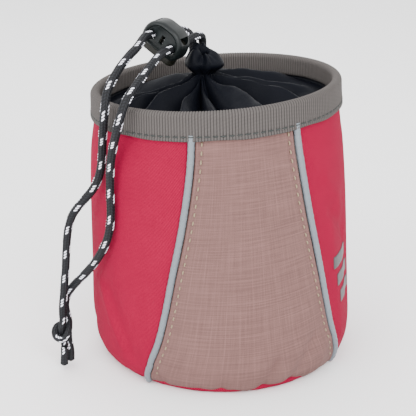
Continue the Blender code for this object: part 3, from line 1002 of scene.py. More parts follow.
@dataclass
class Drawstring:
    """One braided cord: a turn inside the hem, two tails through the lock, and a knot in both."""

    radius: float = CORD_RADIUS
    sides: int = 48
    ring_step: float = 0.25 * MM
    neck: Vector = Vector((-6.9, 5.7, 0.0)) * MM
    hem_radius: float = 5.2 * MM
    hem_height: float = 120.0 * MM
    hem_turn: float = math.radians(284.0)
    exit_angle: float = math.radians(100.0)
    valley_angle: float = math.radians(-106.0)
    valley_depth: float = 2.6 * MM
    knot_centre: Vector = Vector((-70.1, -10.7, 15.2)) * MM
    knot_squeeze: float = 0.88
    knot_left: Route = ((0.7, 6.15, -1.3), (0.7, 4.2, -2.1), (0.4, 2.4, -2.3), (0.1, 0.4, -0.8),
                        (0.3, -1.7, 1.3), (0.7, -3.8, 1.7), (1.1, -6.2, 1.1))
    knot_right: Route = ((2.4, 5.6, 1.9), (3.0, 3.6, 0.2), (3.0, 0.8, -1.4), (1.9, -1.9, -2.0),
                         (0.0, -2.9, -1.8), (-2.0, -2.0, -1.0), (-2.7, 0.2, -0.1), (-1.9, 2.2, 0.7),
                         (0.0, 2.9, 1.5), (1.7, 2.2, 2.5), (2.3, 0.0, 3.1), (2.4, -2.6, 3.5),
                         (2.5, -4.7, 3.9))
    tail_left: Route = ((-9.9, 10.7, 122.6), (-9.9, 10.7, 125.4), (-9.9, 10.9, 127.9),
                        (-10.9, 11.9, 130.5), (-13.2, 12.6, 132.0), (-16.3, 11.9, 132.5),
                        (-19.6, 9.9, 132.9), (-23.0, 6.9, 133.4), (-25.7, 3.7, 133.3), (-28.7, 0.1, 133.1),
                        (-31.6, -3.4, 132.9), (-35.7, -10.5, 130.3), (-39.1, -13.5, 128.0),
                        (-43.2, -17.4, 124.6), (-46.4, -20.7, 121.1), (-48.7, -23.2, 117.7),
                        (-49.8, -24.8, 114.8), (-50.5, -25.9, 111.0), (-51.0, -25.5, 106.8),
                        (-51.2, -23.8, 102.2), (-51.4, -21.4, 96.5), (-51.6, -19.8, 90.9),
                        (-52.2, -18.6, 85.9), (-53.5, -17.6, 81.2), (-55.6, -16.6, 77.2),
                        (-58.4, -15.4, 73.5), (-61.1, -14.2, 70.0), (-63.4, -13.2, 66.3),
                        (-64.9, -12.3, 61.7), (-65.8, -11.7, 56.5), (-66.4, -11.1, 50.3),
                        (-66.9, -10.7, 44.1), (-67.6, -10.3, 37.9), (-68.4, -10.1, 31.3),
                        (-69.0, -10.0, 25.9), (-69.2, -9.9, 21.4))
    tail_right: Route = ((-5.8, 11.4, 122.6), (-5.8, 11.5, 125.2), (-5.8, 11.4, 127.8), (-6.7, 9.9, 129.9),
                         (-9.6, 7.2, 130.3), (-12.9, 4.8, 129.3), (-16.7, 1.6, 128.1),
                         (-19.3, -1.5, 127.9), (-22.2, -5.0, 127.8), (-25.2, -8.5, 127.6),
                         (-28.4, -13.1, 126.7), (-31.3, -17.7, 125.3), (-33.8, -21.0, 123.6),
                         (-36.6, -24.6, 121.5), (-39.7, -28.2, 119.0), (-42.3, -31.1, 116.7),
                         (-44.2, -33.1, 114.1), (-45.4, -34.2, 111.7), (-46.4, -34.7, 108.9),
                         (-47.4, -33.3, 104.5), (-48.3, -30.3, 98.8), (-49.0, -27.8, 93.2),
                         (-49.4, -26.5, 87.8), (-49.6, -26.0, 82.9), (-49.7, -25.6, 77.6),
                         (-49.7, -25.5, 72.3), (-50.0, -25.3, 67.0), (-50.9, -24.7, 61.5),
                         (-52.4, -23.3, 56.5), (-54.4, -21.0, 51.6), (-56.8, -17.7, 46.6),
                         (-59.4, -14.3, 41.9), (-62.3, -11.3, 37.6), (-65.1, -8.9, 33.4),
                         (-66.9, -7.2, 29.3), (-67.7, -6.7, 25.6), (-67.5, -6.9, 22.6),
                         (-66.9, -7.6, 19.8))
    end_left: Route = ((-69.3, -12.1, 9.0), (-69.6, -12.8, 5.1), (-70.1, -13.6, 1.0))
    end_right: Route = ((-67.2, -9.3, 9.4), (-66.9, -10.4, 5.6), (-67.2, -11.9, 1.8))

    def braided(self, name: str, path: np.ndarray, melted: bool = False, phase: float = 0.0,
                size: float = 1.0) -> bpy.types.Object:
        """Make a stretch of braid round a path.

        Args:
            name: The piece's name.
            path: Its centre line.
            melted: Whether its last millimetre is a heat-sealed tip.
            phase: Turn of the pattern round the cord, in turns.
            size: Share of the cord's radius.

        Returns:
            The braid.
        """
        along = distances(path)[:, None]
        column = np.arange(self.sides)[None, :] / self.sides * BRAID_COLUMNS
        offset = column % 1.0 - 0.5
        slant = np.where((column * 0.5) % 1.0 > 0.5, 1.0, -1.0) * offset * BRAID_SLOPE
        crown = np.cos(offset * math.pi) ** 0.6
        strand = (0.5 + 0.5 * np.cos((along / BRAID_STITCH + slant) * TURN)) * crown
        radii = self.radius * size * (0.88 + 0.07 * crown + 0.07 * strand)
        if melted:
            left = along[-1] - along
            radii = radii * np.sqrt(np.clip(left / (0.9 * MM), 0.03, 1.0))
        return tube(name, path, radii, phase)

    def metres(self, route: Route) -> np.ndarray:
        """Read a route in millimetres as closely spaced points in metres."""
        return smooth_route([[value * MM for value in point] for point in route], self.ring_step)

    def hem_cord(self) -> bpy.types.Object:
        """Make the turn of cord inside the hem, pressed in where the hem has its deep crease."""
        middle = self.exit_angle + math.pi
        angles = np.linspace(middle - self.hem_turn / 2, middle + self.hem_turn / 2, 120)
        away = (angles - self.valley_angle + math.pi) % TURN - math.pi
        reach = self.hem_radius - self.valley_depth * np.exp(-(away / 0.44) ** 2)
        path = np.stack([self.neck.x + reach * np.cos(angles), self.neck.y + reach * np.sin(angles),
                         np.full(len(angles), self.hem_height)], axis=1)
        return self.braided("drawstring_hem_braid", path)

    def knot(self) -> bpy.types.Object:
        """Tie the tails: the right one makes a ring, and the left one goes through it."""
        across, ahead = Vector((0.9744, -0.225, 0.0)), Vector((0.2104, 0.911, -0.3548))
        upward = across.cross(ahead)
        strands = []
        for name, route, phase in (("left", self.knot_left, 0.1), ("right", self.knot_right, 0.3)):
            places = [self.knot_centre / MM + across * x + upward * y + ahead * z for x, y, z in route]
            line = self.metres([tuple(place) for place in places])
            strands.append(self.braided(f"knot_strand_{name}", line, phase=phase, size=self.knot_squeeze))
        return join(strands, "overhand_knot")

    def build(self, lock_pieces: Sequence[bpy.types.Object]) -> None:
        """Args:
            lock_pieces: The lock's parts, which sit on the tails. Not used.
        """
        seat(self.hem_cord(), Body.POUCH, BRAID, ["drawstring_hem"])
        knot = self.knot()
        seat(knot, Body.POUCH, BRAID, ["drawstring_knot"])
        ends = {}
        for side, route in (("left", self.end_left), ("right", self.end_right)):
            ends[side] = self.braided(f"cord_end_{side}_braid", self.metres(route), melted=True)
            seat(ends[side], Body.POUCH, BRAID, [f"cord_end_{side}"])
        for side, route, phase in (("left", self.tail_left, 0.10), ("right", self.tail_right, 0.02)):
            path = self.metres(route)
            tail = self.braided(f"drawstring_{side}_braid", path, phase=phase)
            seat(tail, Body.POUCH, BRAID, [f"drawstring_{side}"])


@dataclass
class CordLock:
    """Two-hole spring lock: local X joins the holes, -Y is the way the tails leave, Z is the dome."""

    centre: Vector = Vector((-22.5, 1.1, 130.6)) * MM
    turn: Euler = Euler((math.radians(2.5), math.radians(32.8), math.radians(-38.5)))
    width: float = 17.8 * MM
    depth: float = 9.0 * MM
    bottom: float = -4.6 * MM
    top: float = 7.0 * MM
    hole_offset: float = 4.9 * MM
    hole_radius: float = 1.85 * MM
    cavity_width: float = 15.8 * MM
    cavity_depth: float = 6.2 * MM
    cavity_top: float = 5.6 * MM
    travel: float = 2.5 * MM
    plunger_bottom: float = -7.5 * MM
    plunger_top: float = 2.9 * MM
    bore_bottom: float = -2.8 * MM
    bore_radius: float = 2.3 * MM
    spring_radius: float = 1.7 * MM
    spring_wire: float = 0.25 * MM
    spring_turns: int = 5
    clearance: float = 0.3 * MM
    dome_rounding: float = 7.2 * MM
    foot_rounding: float = 3.4 * MM
    face_rounding: float = 1.75 * MM
    notch_half: float = 0.8 * MM
    slot_half: float = 0.6 * MM

    def place(self) -> Matrix:
        """Where the lock's own frame stands."""
        return Matrix.Translation(self.centre) @ self.turn.to_matrix().to_4x4()

    def housing(self) -> bpy.types.Object:
        """Shape the domed housing with its sunk faces, holes, notch and plunger well."""
        half = Vector((self.width / 2, self.depth / 2, 0.0))
        bench = Bench.block("cord_lock_housing", Vector((-half.x, -half.y, self.bottom)),
                            Vector((half.x, half.y, self.top)))

        def lengthwise(edge: bmesh.types.BMEdge, height: float) -> bool:
            """Say whether an edge runs along the lock's Y at a height."""
            first, second = (vertex.co for vertex in edge.verts)
            level = abs(first.z - height) < 1e-5 and abs(second.z - height) < 1e-5
            return level and abs(first.x - second.x) < 1e-5

        def rims_face(edge: bmesh.types.BMEdge) -> bool:
            """Say whether an edge lies round one of the two flat faces."""
            return sum(abs(face.normal.y) > 0.99 for face in edge.link_faces) == 1

        bench.round_edges(lambda edge: lengthwise(edge, self.top), self.dome_rounding, 14)
        bench.round_edges(lambda edge: lengthwise(edge, self.bottom), self.foot_rounding, 8)
        bench.round_edges(rims_face, self.face_rounding, 6)
        bench.sink_faces(lambda face: abs(face.normal.y) > 0.99, 0.3 * MM, 0.6 * MM)
        well = Bench.block("well", Vector((-self.cavity_width / 2, -self.cavity_depth / 2, self.bottom * 2)),
                           Vector((self.cavity_width / 2, self.cavity_depth / 2, self.cavity_top)))
        well.round_edges(self.upright, 2.4 * MM, 6)
        bench.cut(well)
        for side in (-1, 1):
            middle = Vector((side * self.hole_offset, 0.0, 0.0))
            hole = Bench.rod("hole", self.hole_radius, 2 * self.depth, middle, "Y")
            bench.cut(hole)
        notch = Bench.block("notch", Vector((-self.notch_half, -self.depth, -1.1 * MM)),
                            Vector((self.notch_half, 0.0, 2.6 * MM)))
        bench.cut(notch)
        bench.soften(0.22 * MM)
        return bench.finish(self.place())

    @staticmethod
    def upright(edge: bmesh.types.BMEdge) -> bool:
        """Say whether an edge runs along the lock's Z."""
        first, second = (vertex.co for vertex in edge.verts)
        return abs(first.x - second.x) < 1e-5 and abs(first.y - second.y) < 1e-5

    def plunger(self) -> bpy.types.Object:
        """Shape the plunger with its two cord windows, spring bore and pressing face."""
        half_width = self.cavity_width / 2 - self.clearance
        half_depth = self.cavity_depth / 2 - self.clearance
        bench = Bench.block("cord_lock_press", Vector((-half_width, -half_depth, self.plunger_bottom)),
                            Vector((half_width, half_depth, self.plunger_top)))
        bench.round_edges(self.upright, 2.2 * MM, 6)

        def at_foot(edge: bmesh.types.BMEdge) -> bool:
            """Say whether an edge lies round the pressing face."""
            return all(abs(vertex.co.z - self.plunger_bottom) < 1e-5 for vertex in edge.verts)

        bench.round_edges(at_foot, 0.9 * MM, 4)
        reach = CORD_RADIUS + self.clearance
        for side in (-1, 1):
            middle = side * self.hole_offset
            window = Bench.block("window", Vector((middle - reach, -self.depth, -reach - self.travel)),
                                 Vector((middle + reach, self.depth, reach)))
            bench.cut(window)
        bore_depth = self.plunger_top - self.bore_bottom
        middle = Vector((0.0, 0.0, self.bore_bottom + bore_depth))
        bench.cut(Bench.rod("bore", self.bore_radius, 2 * bore_depth, middle))
        slot = Bench.block("slot", Vector((-self.slot_half, -self.depth, -1.5 * MM)),
                           Vector((self.slot_half, 0.0, 2 * self.top)))
        bench.cut(slot)
        bench.soften(0.15 * MM)
        return bench.finish(self.place())

    def spring(self) -> bpy.types.Object:
        """Wind the spring between the plunger's bore and the dome."""
        low = self.bore_bottom + self.spring_wire + self.clearance
        high = self.cavity_top - self.spring_wire - self.clearance
        share = np.linspace(0, 1, self.spring_turns * 28 + 1)
        turn = TURN * self.spring_turns * share
        local = np.stack([self.spring_radius * np.cos(turn), self.spring_radius * np.sin(turn),
                          low + (high - low) * share], axis=1)
        place = np.array(self.place())
        path = local @ place[:3, :3].T + place[:3, 3]
        return tube("cord_lock_coil", path, np.full((len(path), 10), self.spring_wire))

    def build(self) -> list[bpy.types.Object]:
        """Make the lock.

        Returns:
            Its housing, plunger and spring.
        """
        housing, press, coil = self.housing(), self.plunger(), self.spring()
        seat(housing, Body.LOCK, LOCK, ["cord_lock_body"])
        seat(press, Body.PLUNGER, PRESS, ["cord_lock_plunger"])
        seat(coil, Body.LOCK, STEEL, ["cord_lock_spring"])
        dome = self.place() @ Vector((0.0, 0.0, self.cavity_top))
        upward = self.place().to_3x3() @ Vector((0.0, 0.0, 1.0))
        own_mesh(coil)
        return [housing, press, coil]


# ---------------------------------------------------------------- wall


def smooth_table(rows: Sequence[tuple[float, float]], t: float) -> float:
    """Read a smooth value from (position, value) rows.

    Args:
        rows: Positions in rising order with their values.
        t: Where to read.

    Returns:
        The value there.
    """
    if t <= rows[0][0]:
        return rows[0][1]
    for index in range(len(rows) - 1):
        (t0, v0), (t1, v1) = rows[index], rows[index + 1]
        if t <= t1:
            before = rows[max(index - 1, 0)]
            after = rows[min(index + 2, len(rows) - 1)]
            span = t1 - t0
            slope0 = (v1 - before[1]) / (t1 - before[0]) * span
            slope1 = (after[1] - v0) / (after[0] - t0) * span
            s = (t - t0) / span
            return (v0 + (v1 - v0) * (3 * s * s - 2 * s ** 3) + slope0 * (s ** 3 - 2 * s * s + s)
                    + slope1 * (s ** 3 - s * s))
    return rows[-1][1]


@dataclass(frozen=True)
class Fold:
    """A crease in the wall between two places, each an angle in degrees and a share of the height."""

    start: tuple[float, float]
    stop: tuple[float, float]
    width: float
    depth: float


@dataclass(frozen=True)
class WallShape:
    """The drum that every layer of the wall follows, with the folds that all of them share."""

    height: float = 114.5 * MM
    tilt: float = 3.0 * MM
    lean: float = -3.0 * MM
    seam_height: float = 4.0 * MM
    profile: tuple = ((0.0, 50.8), (0.035, 52.4), (0.08, 54.0), (0.16, 54.6), (0.35, 53.7), (0.6, 52.4),
                      (0.8, 50.8), (0.88, 49.5), (0.93, 48.8), (1.0, 48.4))
    panel_edge: tuple = ((0.0, 49.0), (0.07, 46.0), (0.19, 40.0), (0.3, 36.5), (0.44, 32.8), (0.6, 28.4),
                         (0.75, 25.2), (0.85, 23.8), (1.0, 23.2))
    seam_rows: tuple = ((-180, 1.6), (-60, 1.2), (-49, 2.0), (-30, 2.7), (-8, 2.5), (-5, 1.3), (2, 1.3),
                        (4, 3.4), (25, 3.2), (28, 0.5), (60, 0.5), (90, 1.2), (180, 1.6))
    folds: tuple = (Fold((-76, 0.33), (-60, 0.13), 2.2, 0.8), Fold((-68, 0.32), (-54, 0.12), 4.4, -1.0),
                    Fold((-14, 0.02), (-12, 0.085), 1.8, -1.1), Fold((-8, 0.02), (-5, 0.06), 2.0, 0.4),
                    Fold((5, 0.02), (10, 0.12), 2.0, -1.2), Fold((12, 0.03), (17, 0.10), 2.4, 0.5),
                    Fold((19, 0.03), (29, 0.17), 2.8, -1.2), Fold((34, 0.05), (38, 0.14), 3.0, 0.5),
                    Fold((43, 0.55), (49, 0.12), 4.0, 0.6), Fold((58, 0.60), (64, 0.20), 5.0, -0.9),
                    Fold((40, 0.72), (56, 0.58), 3.4, 0.8), Fold((44, 0.60), (60, 0.48), 3.0, -0.8),
                    Fold((88, 0.03), (96, 0.14), 2.6, -1.0), Fold((118, 0.03), (112, 0.12), 2.4, -1.0),
                    Fold((145, 0.03), (152, 0.16), 3.0, -1.1), Fold((205, 0.03), (212, 0.13), 2.8, -1.0),
                    Fold((238, 0.03), (230, 0.15), 2.6, -1.1), Fold((262, 0.04), (270, 0.18), 3.2, -1.0),
                    Fold((-40, 0.03), (-44, 0.09), 2.0, -0.8), Fold((-36, 0.88), (-44, 0.60), 7.0, -0.5),
                    Fold((10, 0.86), (22, 0.45), 8.0, -0.7), Fold((-8, 0.80), (-2, 0.35), 9.0, 0.4),
                    Fold((130, 0.85), (118, 0.45), 8.0, -0.6), Fold((230, 0.82), (246, 0.40), 8.0, -0.6))

    def radius(self, t: np.ndarray) -> np.ndarray:
        """Wall radius at shares of the height."""
        stops = np.linspace(0, 1, 401)
        values = [smooth_table(self.profile, stop) * MM for stop in stops]
        return np.interp(t, stops, values)

    def seam(self, angle: np.ndarray) -> np.ndarray:
        """Height of the base seam round the wall, with its puckers."""
        degrees = np.degrees((angle + math.pi) % TURN - math.pi)
        height = np.interp(degrees, *np.array(self.seam_rows).T)
        pucker = 0.28 * np.sin(23 * angle + 1.3 * np.sin(5 * angle)) + 0.18 * np.sin(41 * angle)
        return np.maximum(height + pucker, 0.25) * MM

    def edge_angle(self, t: np.ndarray) -> np.ndarray:
        """Angle of the front panel's edge at shares of the height, in radians."""
        stops = np.linspace(0, 1, 201)
        values = [math.radians(smooth_table(self.panel_edge, stop)) for stop in stops]
        return np.interp(t, stops, values)

    def relief(self, angle: np.ndarray, t: np.ndarray) -> np.ndarray:
        """How far the folds push the wall out.

        Args:
            angle: Angles round the wall in radians.
            t: Shares of the height.

        Returns:
            The rise in metres, below zero in a hollow.
        """
        roll = 54.0
        rise = 0.22 * np.sin(3 * angle + 0.7) * np.sin(math.pi * t) + 0.10 * np.sin(7 * angle + 9 * t)
        for fold in self.folds:
            first = np.array([math.radians(fold.start[0]) * roll, fold.start[1] * self.height / MM])
            second = np.array([math.radians(fold.stop[0]) * roll, fold.stop[1] * self.height / MM])
            centre = math.radians((fold.start[0] + fold.stop[0]) / 2)
            near = (angle - centre + math.pi) % TURN - math.pi + centre
            spot = np.stack(np.broadcast_arrays(near * roll, t * self.height / MM), axis=-1)
            line = second - first
            share = np.clip(((spot - first) @ line) / (line @ line), 0, 1)
            away = np.linalg.norm(spot - first - share[..., None] * line, axis=-1)
            rise = rise + fold.depth * np.exp(-(away / fold.width) ** 2)
        fade = np.clip((0.90 - t) / 0.05, 0, 1)
        return rise * fade * MM

    def points(self, angle: np.ndarray, t: np.ndarray, inset: np.ndarray | float = 0.0,
               lift: np.ndarray | float = 0.0, folded: bool = True) -> np.ndarray:
        """Places on the wall.

        Args:
            angle: Angles round the wall in radians.
            t: Shares of the height.
            inset: Distance in from the outer face.
            lift: Distance up.
            folded: Whether the folds are in it.

        Returns:
            Points, with 3 as the last axis.
        """
        angle, t = np.broadcast_arrays(angle, t)
        radius = self.radius(t) - inset
        if folded:
            radius = radius + self.relief(angle, t)
        x = radius * np.sin(angle) + self.lean * t
        z = t * (self.height + self.tilt * np.sin(angle)) + lift
        return np.stack([x, -radius * np.cos(angle), z], axis=-1)


WALL = WallShape()


def stitches(name: str, places: np.ndarray, outward: np.ndarray, length: float,
             radius: float) -> bpy.types.Object:
    """Sew a row of short thread stitches.

    Args:
        name: The piece's name.
        places: Stitch centres, one a row, in order along the seam.
        outward: The surface's outward direction at each.
        length: Length of one stitch.
        radius: Radius of the thread.

    Returns:
        All the stitches as one mesh.
    """
    skin = Skin()
    ahead = np.gradient(places, axis=0)
    ahead /= np.linalg.norm(ahead, axis=1, keepdims=True)
    sides = np.cross(ahead, outward)
    sides /= np.linalg.norm(sides, axis=1, keepdims=True)
    turn = TURN * np.arange(6) / 6
    shares = np.array([-1.0, -0.8, -0.3, 0.3, 0.8, 1.0])
    sizes = np.array([0.35, 0.85, 1.0, 1.0, 0.85, 0.35])
    heights = np.array([-0.9, -0.1, 0.5, 0.5, -0.1, -0.9])
    uv = np.stack(np.broadcast_arrays(np.arange(7)[None, :] / 6, shares[:, None] * length / 2), axis=2)
    for place, forward, side, out in zip(places, ahead, sides, outward):
        line = place + forward * (shares * length / 2)[:, None] + out * (heights * radius)[:, None]
        spokes = side * np.cos(turn)[:, None] + out * np.sin(turn)[:, None]
        rings = line[:, None] + spokes[None] * (sizes * radius)[:, None, None]
        index = skin.grid(rings, uv, wrap=True)
        skin.pole(index[0], line[0], (0.0, 0.0))
        skin.pole(index[-1], line[-1], (0.0, length))
    return skin.build(name)


@dataclass
class PouchWall:
    """Outer panels, piping, seams, foam, lining and base."""

    fabric: float = 1.0 * MM
    foam: float = 1.0 * MM
    lining: float = 0.6 * MM
    gap: float = 0.3 * MM
    top_drop: float = 2.4 * MM
    piping_radius: float = 1.3 * MM
    piping_start: float = 0.014
    edge_tuck: float = 0.25 * MM
    binding_drop: float = 10.5 * MM
    stitch_inset: float = 3.8 * MM
    stitch_pitch: float = 3.2 * MM
    panel_rows: int = 110
    base_columns: int = 240
    bars: tuple = ((44, 49, 43, 62), (36, 41, 46, 65), (28, 33, 49, 68))

    def panel(self, name: str, columns: int, low: Callable, high: Callable,
              stitched: bool) -> bpy.types.Object:
        """Cut one outer panel between two edges and roll its edges in at the seams.

        Args:
            name: The piece's name.
            columns: Number of columns of faces.
            low: Angle of the first edge as a function of the height share.
            high: Angle of the second edge.
            stitched: Whether a line of topstitching presses it down beside each side seam.

        Returns:
            The panel.
        """
        v = np.linspace(0, 1, self.panel_rows + 1)[:, None] ** 1.15
        u = 0.5 - 0.5 * np.cos(np.linspace(0, math.pi, columns + 1))[None, :]
        u = 0.75 * u + 0.25 * np.linspace(0, 1, columns + 1)[None, :]
        start = WALL.seam(low(v) + (high(v) - low(v)) * u) / WALL.height
        t = start + (1 - start) * v
        angle = low(t) + (high(t) - low(t)) * u
        reach = np.minimum(angle - low(t), high(t) - angle) * WALL.radius(t)
        roll = 0.9 * MM * np.clip(1 - reach / (1.0 * MM), 0, 1) ** 2
        tuck = np.clip(1 - v * WALL.height / (3.0 * MM), 0, 1) ** 2
        seam = tuck * np.clip(1.9 * MM - 0.35 * start * WALL.height, 0.6 * MM, None)
        press = 0.0
        if stitched:
            line = self.stitch_inset - self.piping_radius - self.gap
            press = 0.28 * MM * np.exp(-((reach - line) / (0.7 * MM)) ** 2)
            press = press - 0.30 * MM * np.exp(-((reach - line * 0.45) / (0.9 * MM)) ** 2)
        inset = roll + seam + press
        lift = -self.top_drop * v
        outer = WALL.points(angle, t, inset, lift)
        inner = WALL.points(angle, t, np.maximum(inset, 0.0) * 0.25 + self.fabric, lift)
        return cloth_slab(name, outer, inner)

    def allowance(self, t: np.ndarray) -> np.ndarray:
        """Angle that a panel's edge keeps from the piping's centre, so that it tucks under the bead."""
        return (self.piping_radius - self.edge_tuck) / WALL.radius(t)

    def panels(self) -> None:
        """Make the taupe front panel and the two red side panels."""
        back = 0.05 * MM / (52.4 * MM)
        front = self.panel("front_panel_ripstop", 84, lambda t: -WALL.edge_angle(t) + self.allowance(t),
                           lambda t: WALL.edge_angle(t) - self.allowance(t), True)
        right = self.panel("side_panel_right_softshell", 110,
                           lambda t: WALL.edge_angle(t) + self.allowance(t),
                           lambda t: np.full_like(t, math.pi - back), False)
        left = self.panel("side_panel_left_softshell", 110, lambda t: np.full_like(t, math.pi + back),
                          lambda t: TURN - WALL.edge_angle(t) - self.allowance(t), False)
        seat(front, Body.POUCH, TAUPE, ["front_panel"])
        seat(right, Body.POUCH, RED, ["side_panel_right"])
        seat(left, Body.POUCH, RED, ["side_panel_left"])

    def piping(self) -> None:
        """Run the reflective piping down both side seams."""
        start = self.piping_start
        stop = 1.0 - (self.binding_drop - 2 * MM) / WALL.height
        for node, side in (("piping_left", -1), ("piping_right", 1)):
            t = np.linspace(start, stop, 190)
            dip = 0.9 * MM * np.clip(1 - (t - start) * WALL.height / (3.5 * MM), 0, 1) ** 2
            path = WALL.points(side * WALL.edge_angle(t), t, dip)
            along = distances(path)[:, None]
            crimp = 0.035 * np.sin(along * TURN / (2.6 * MM))
            crimp = crimp + 0.02 * np.sin(along * TURN / (7.3 * MM) + side)
            radii = self.piping_radius * (1 + crimp) * np.ones((1, 20))
            bead = tube(f"{node}_bead", path, radii)
            seat(bead, Body.POUCH, PIPING, [node])

    def topstitching(self) -> None:
        """Sew the cream topstitching beside both pipings."""
        rows = []
        low = WALL.seam_height / WALL.height + 0.03
        count = round((1 - low) * 0.98 * WALL.height * 0.93 / self.stitch_pitch)
        for side in (-1, 1):
            t = np.linspace(low, 1 - (self.binding_drop + 1.5 * MM) / WALL.height, count)
            angle = side * (WALL.edge_angle(t) - self.stitch_inset / WALL.radius(t))
            places = WALL.points(angle, t, 0.20 * MM)
            outward = np.stack([np.sin(angle), -np.cos(angle), np.zeros_like(angle)], axis=1)
            rows.append(stitches(f"topstitch_{side}", places, outward, 1.7 * MM, 0.34 * MM))
        sewn = join(rows, "front_panel_topstitching")
        seat(sewn, Body.POUCH, CREAM_THREAD)

    def layer(self, name: str, inset: float, thickness: float, low: float, high: float) -> bpy.types.Object:
        """Wrap one inner layer round the wall.

        Args:
            name: The piece's name.
            inset: Distance of its outer face in from the wall's.
            thickness: Its thickness.
            low: Share of the height where it starts.
            high: Share of the height where it ends.

        Returns:
            The layer.
        """
        angle = np.linspace(0, TURN, 180, endpoint=False)[None, :]
        t = np.linspace(low, high, 70)[:, None]
        outer = WALL.points(angle, t, inset)
        inner = WALL.points(angle, t, inset + thickness)
        return cloth_slab(name, outer, inner, wrap=True)

    def inner_layers(self) -> None:
        """Make the foam and the lining behind the panels, and the lining's floor."""
        foam_inset = self.fabric + 2 * self.gap
        foam = self.layer("wall_foam", foam_inset, self.foam, 0.045, 0.885)
        seat(foam, Body.POUCH, FOAM, ["wall_interlining"])
        lining = self.layer("lining_wall_nylon", foam_inset + self.foam + self.gap, self.lining, 0.040, 0.905)
        seat(lining, Body.POUCH, LINING_NYLON, ["lining_wall"])
        radii = np.array([0.5, 12.0, 24.0, 36.0, 44.0, 46.3]) * MM
        turn = np.linspace(0, TURN, 96, endpoint=False)
        top = 3.95 * MM + 0.12 * MM * np.sin(3 * turn)[None, :] * (radii[:, None] / radii[-1])
        spread = radii[:, None]
        ring = np.stack(np.broadcast_arrays(spread * np.sin(turn), -spread * np.cos(turn), top), axis=2)
        skin = Skin()
        uv = np.append(ring, ring[:, :1], axis=1)[..., :2]
        upper = skin.grid(ring, uv, wrap=True)
        lower = skin.grid(ring - np.array([0.0, 0.0, 0.55 * MM]), uv, wrap=True)
        skin.bridge(np.append(upper[-1], upper[-1][0]), np.append(lower[-1], lower[-1][0]), uv[-1], uv[-1])
        skin.pole(upper[0], ring[0].mean(axis=0), (0.0, 0.0))
        skin.pole(lower[0], ring[0].mean(axis=0) - np.array([0.0, 0.0, 0.55 * MM]), (0.0, 0.0))
        floor = skin.build("lining_floor_nylon")
        seat(floor, Body.POUCH, LINING_NYLON, ["lining_base"])
        WARDROBE.dress(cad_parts["base_stiffener"], BOARD)

    def base(self) -> None:
        """Turn the red base with its rounded edge and the puckers of its seam."""
        turn = np.linspace(0, TURN, self.base_columns, endpoint=False)[None, :]
        outline = [(0.4, 0.0), (20.0, 0.0), (40.0, 0.0), (46.0, 0.0), (47.6, 0.1), (48.8, 0.4), (49.7, 0.95),
                   (50.2, 1.7), (50.5, 2.6), (50.75, 3.4), (50.4, 3.75), (49.9, 3.4), (49.3, 2.2),
                   (48.7, 1.5), (47.9, 1.2), (40.0, 1.2), (20.0, 1.2), (0.4, 1.2)]
        profile = smooth_route([(radius, height, 0.0) for radius, height in outline], 1.1)[:, :2] * MM
        wave = 0.30 * np.sin(23 * turn + 1.3 * np.sin(5 * turn)) + 0.2 * np.sin(41 * turn)
        lobes = np.clip((profile[:, 0] / MM - 48.0) / 4.0, 0, 1)[:, None] * wave * 0.5 * MM
        radius = profile[:, :1] + lobes
        height = np.broadcast_to(profile[:, 1:], radius.shape)
        rings = np.stack([radius * np.sin(turn), -radius * np.cos(turn), height], axis=2)
        skin = Skin()
        uv = np.append(rings, rings[:, :1], axis=1)[..., :2]
        grid = skin.grid(rings, uv, wrap=True)
        for edge in (0, -1):
            skin.pole(grid[edge], rings[edge].mean(axis=0), (0.0, 0.0))
        base = skin.build("base_softshell")
        seat(base, Body.POUCH, RED, ["base_panel"])

    def mark(self) -> None:
        """Lay three plain reflective bars on the right side panel."""
        bars = []
        for index, (low, high, start, stop) in enumerate(self.bars):
            angle = np.radians(np.linspace(start, stop, 30))[None, :]
            t = (np.linspace(low, high, 8)[:, None] * MM) / WALL.height
            face, back = WALL.points(angle, t, -0.10 * MM), WALL.points(angle, t, 0.05 * MM)
            bars.append(cloth_slab(f"bar_{index}", face, back))
        mark = join(bars, "reflective_bars")
        seat(mark, Body.POUCH, MARK)

    def build(self) -> None:
        """Make the wall from the outside in."""
        self.panels()
        self.piping()
        self.topstitching()
        self.inner_layers()
        self.base()
        self.mark()


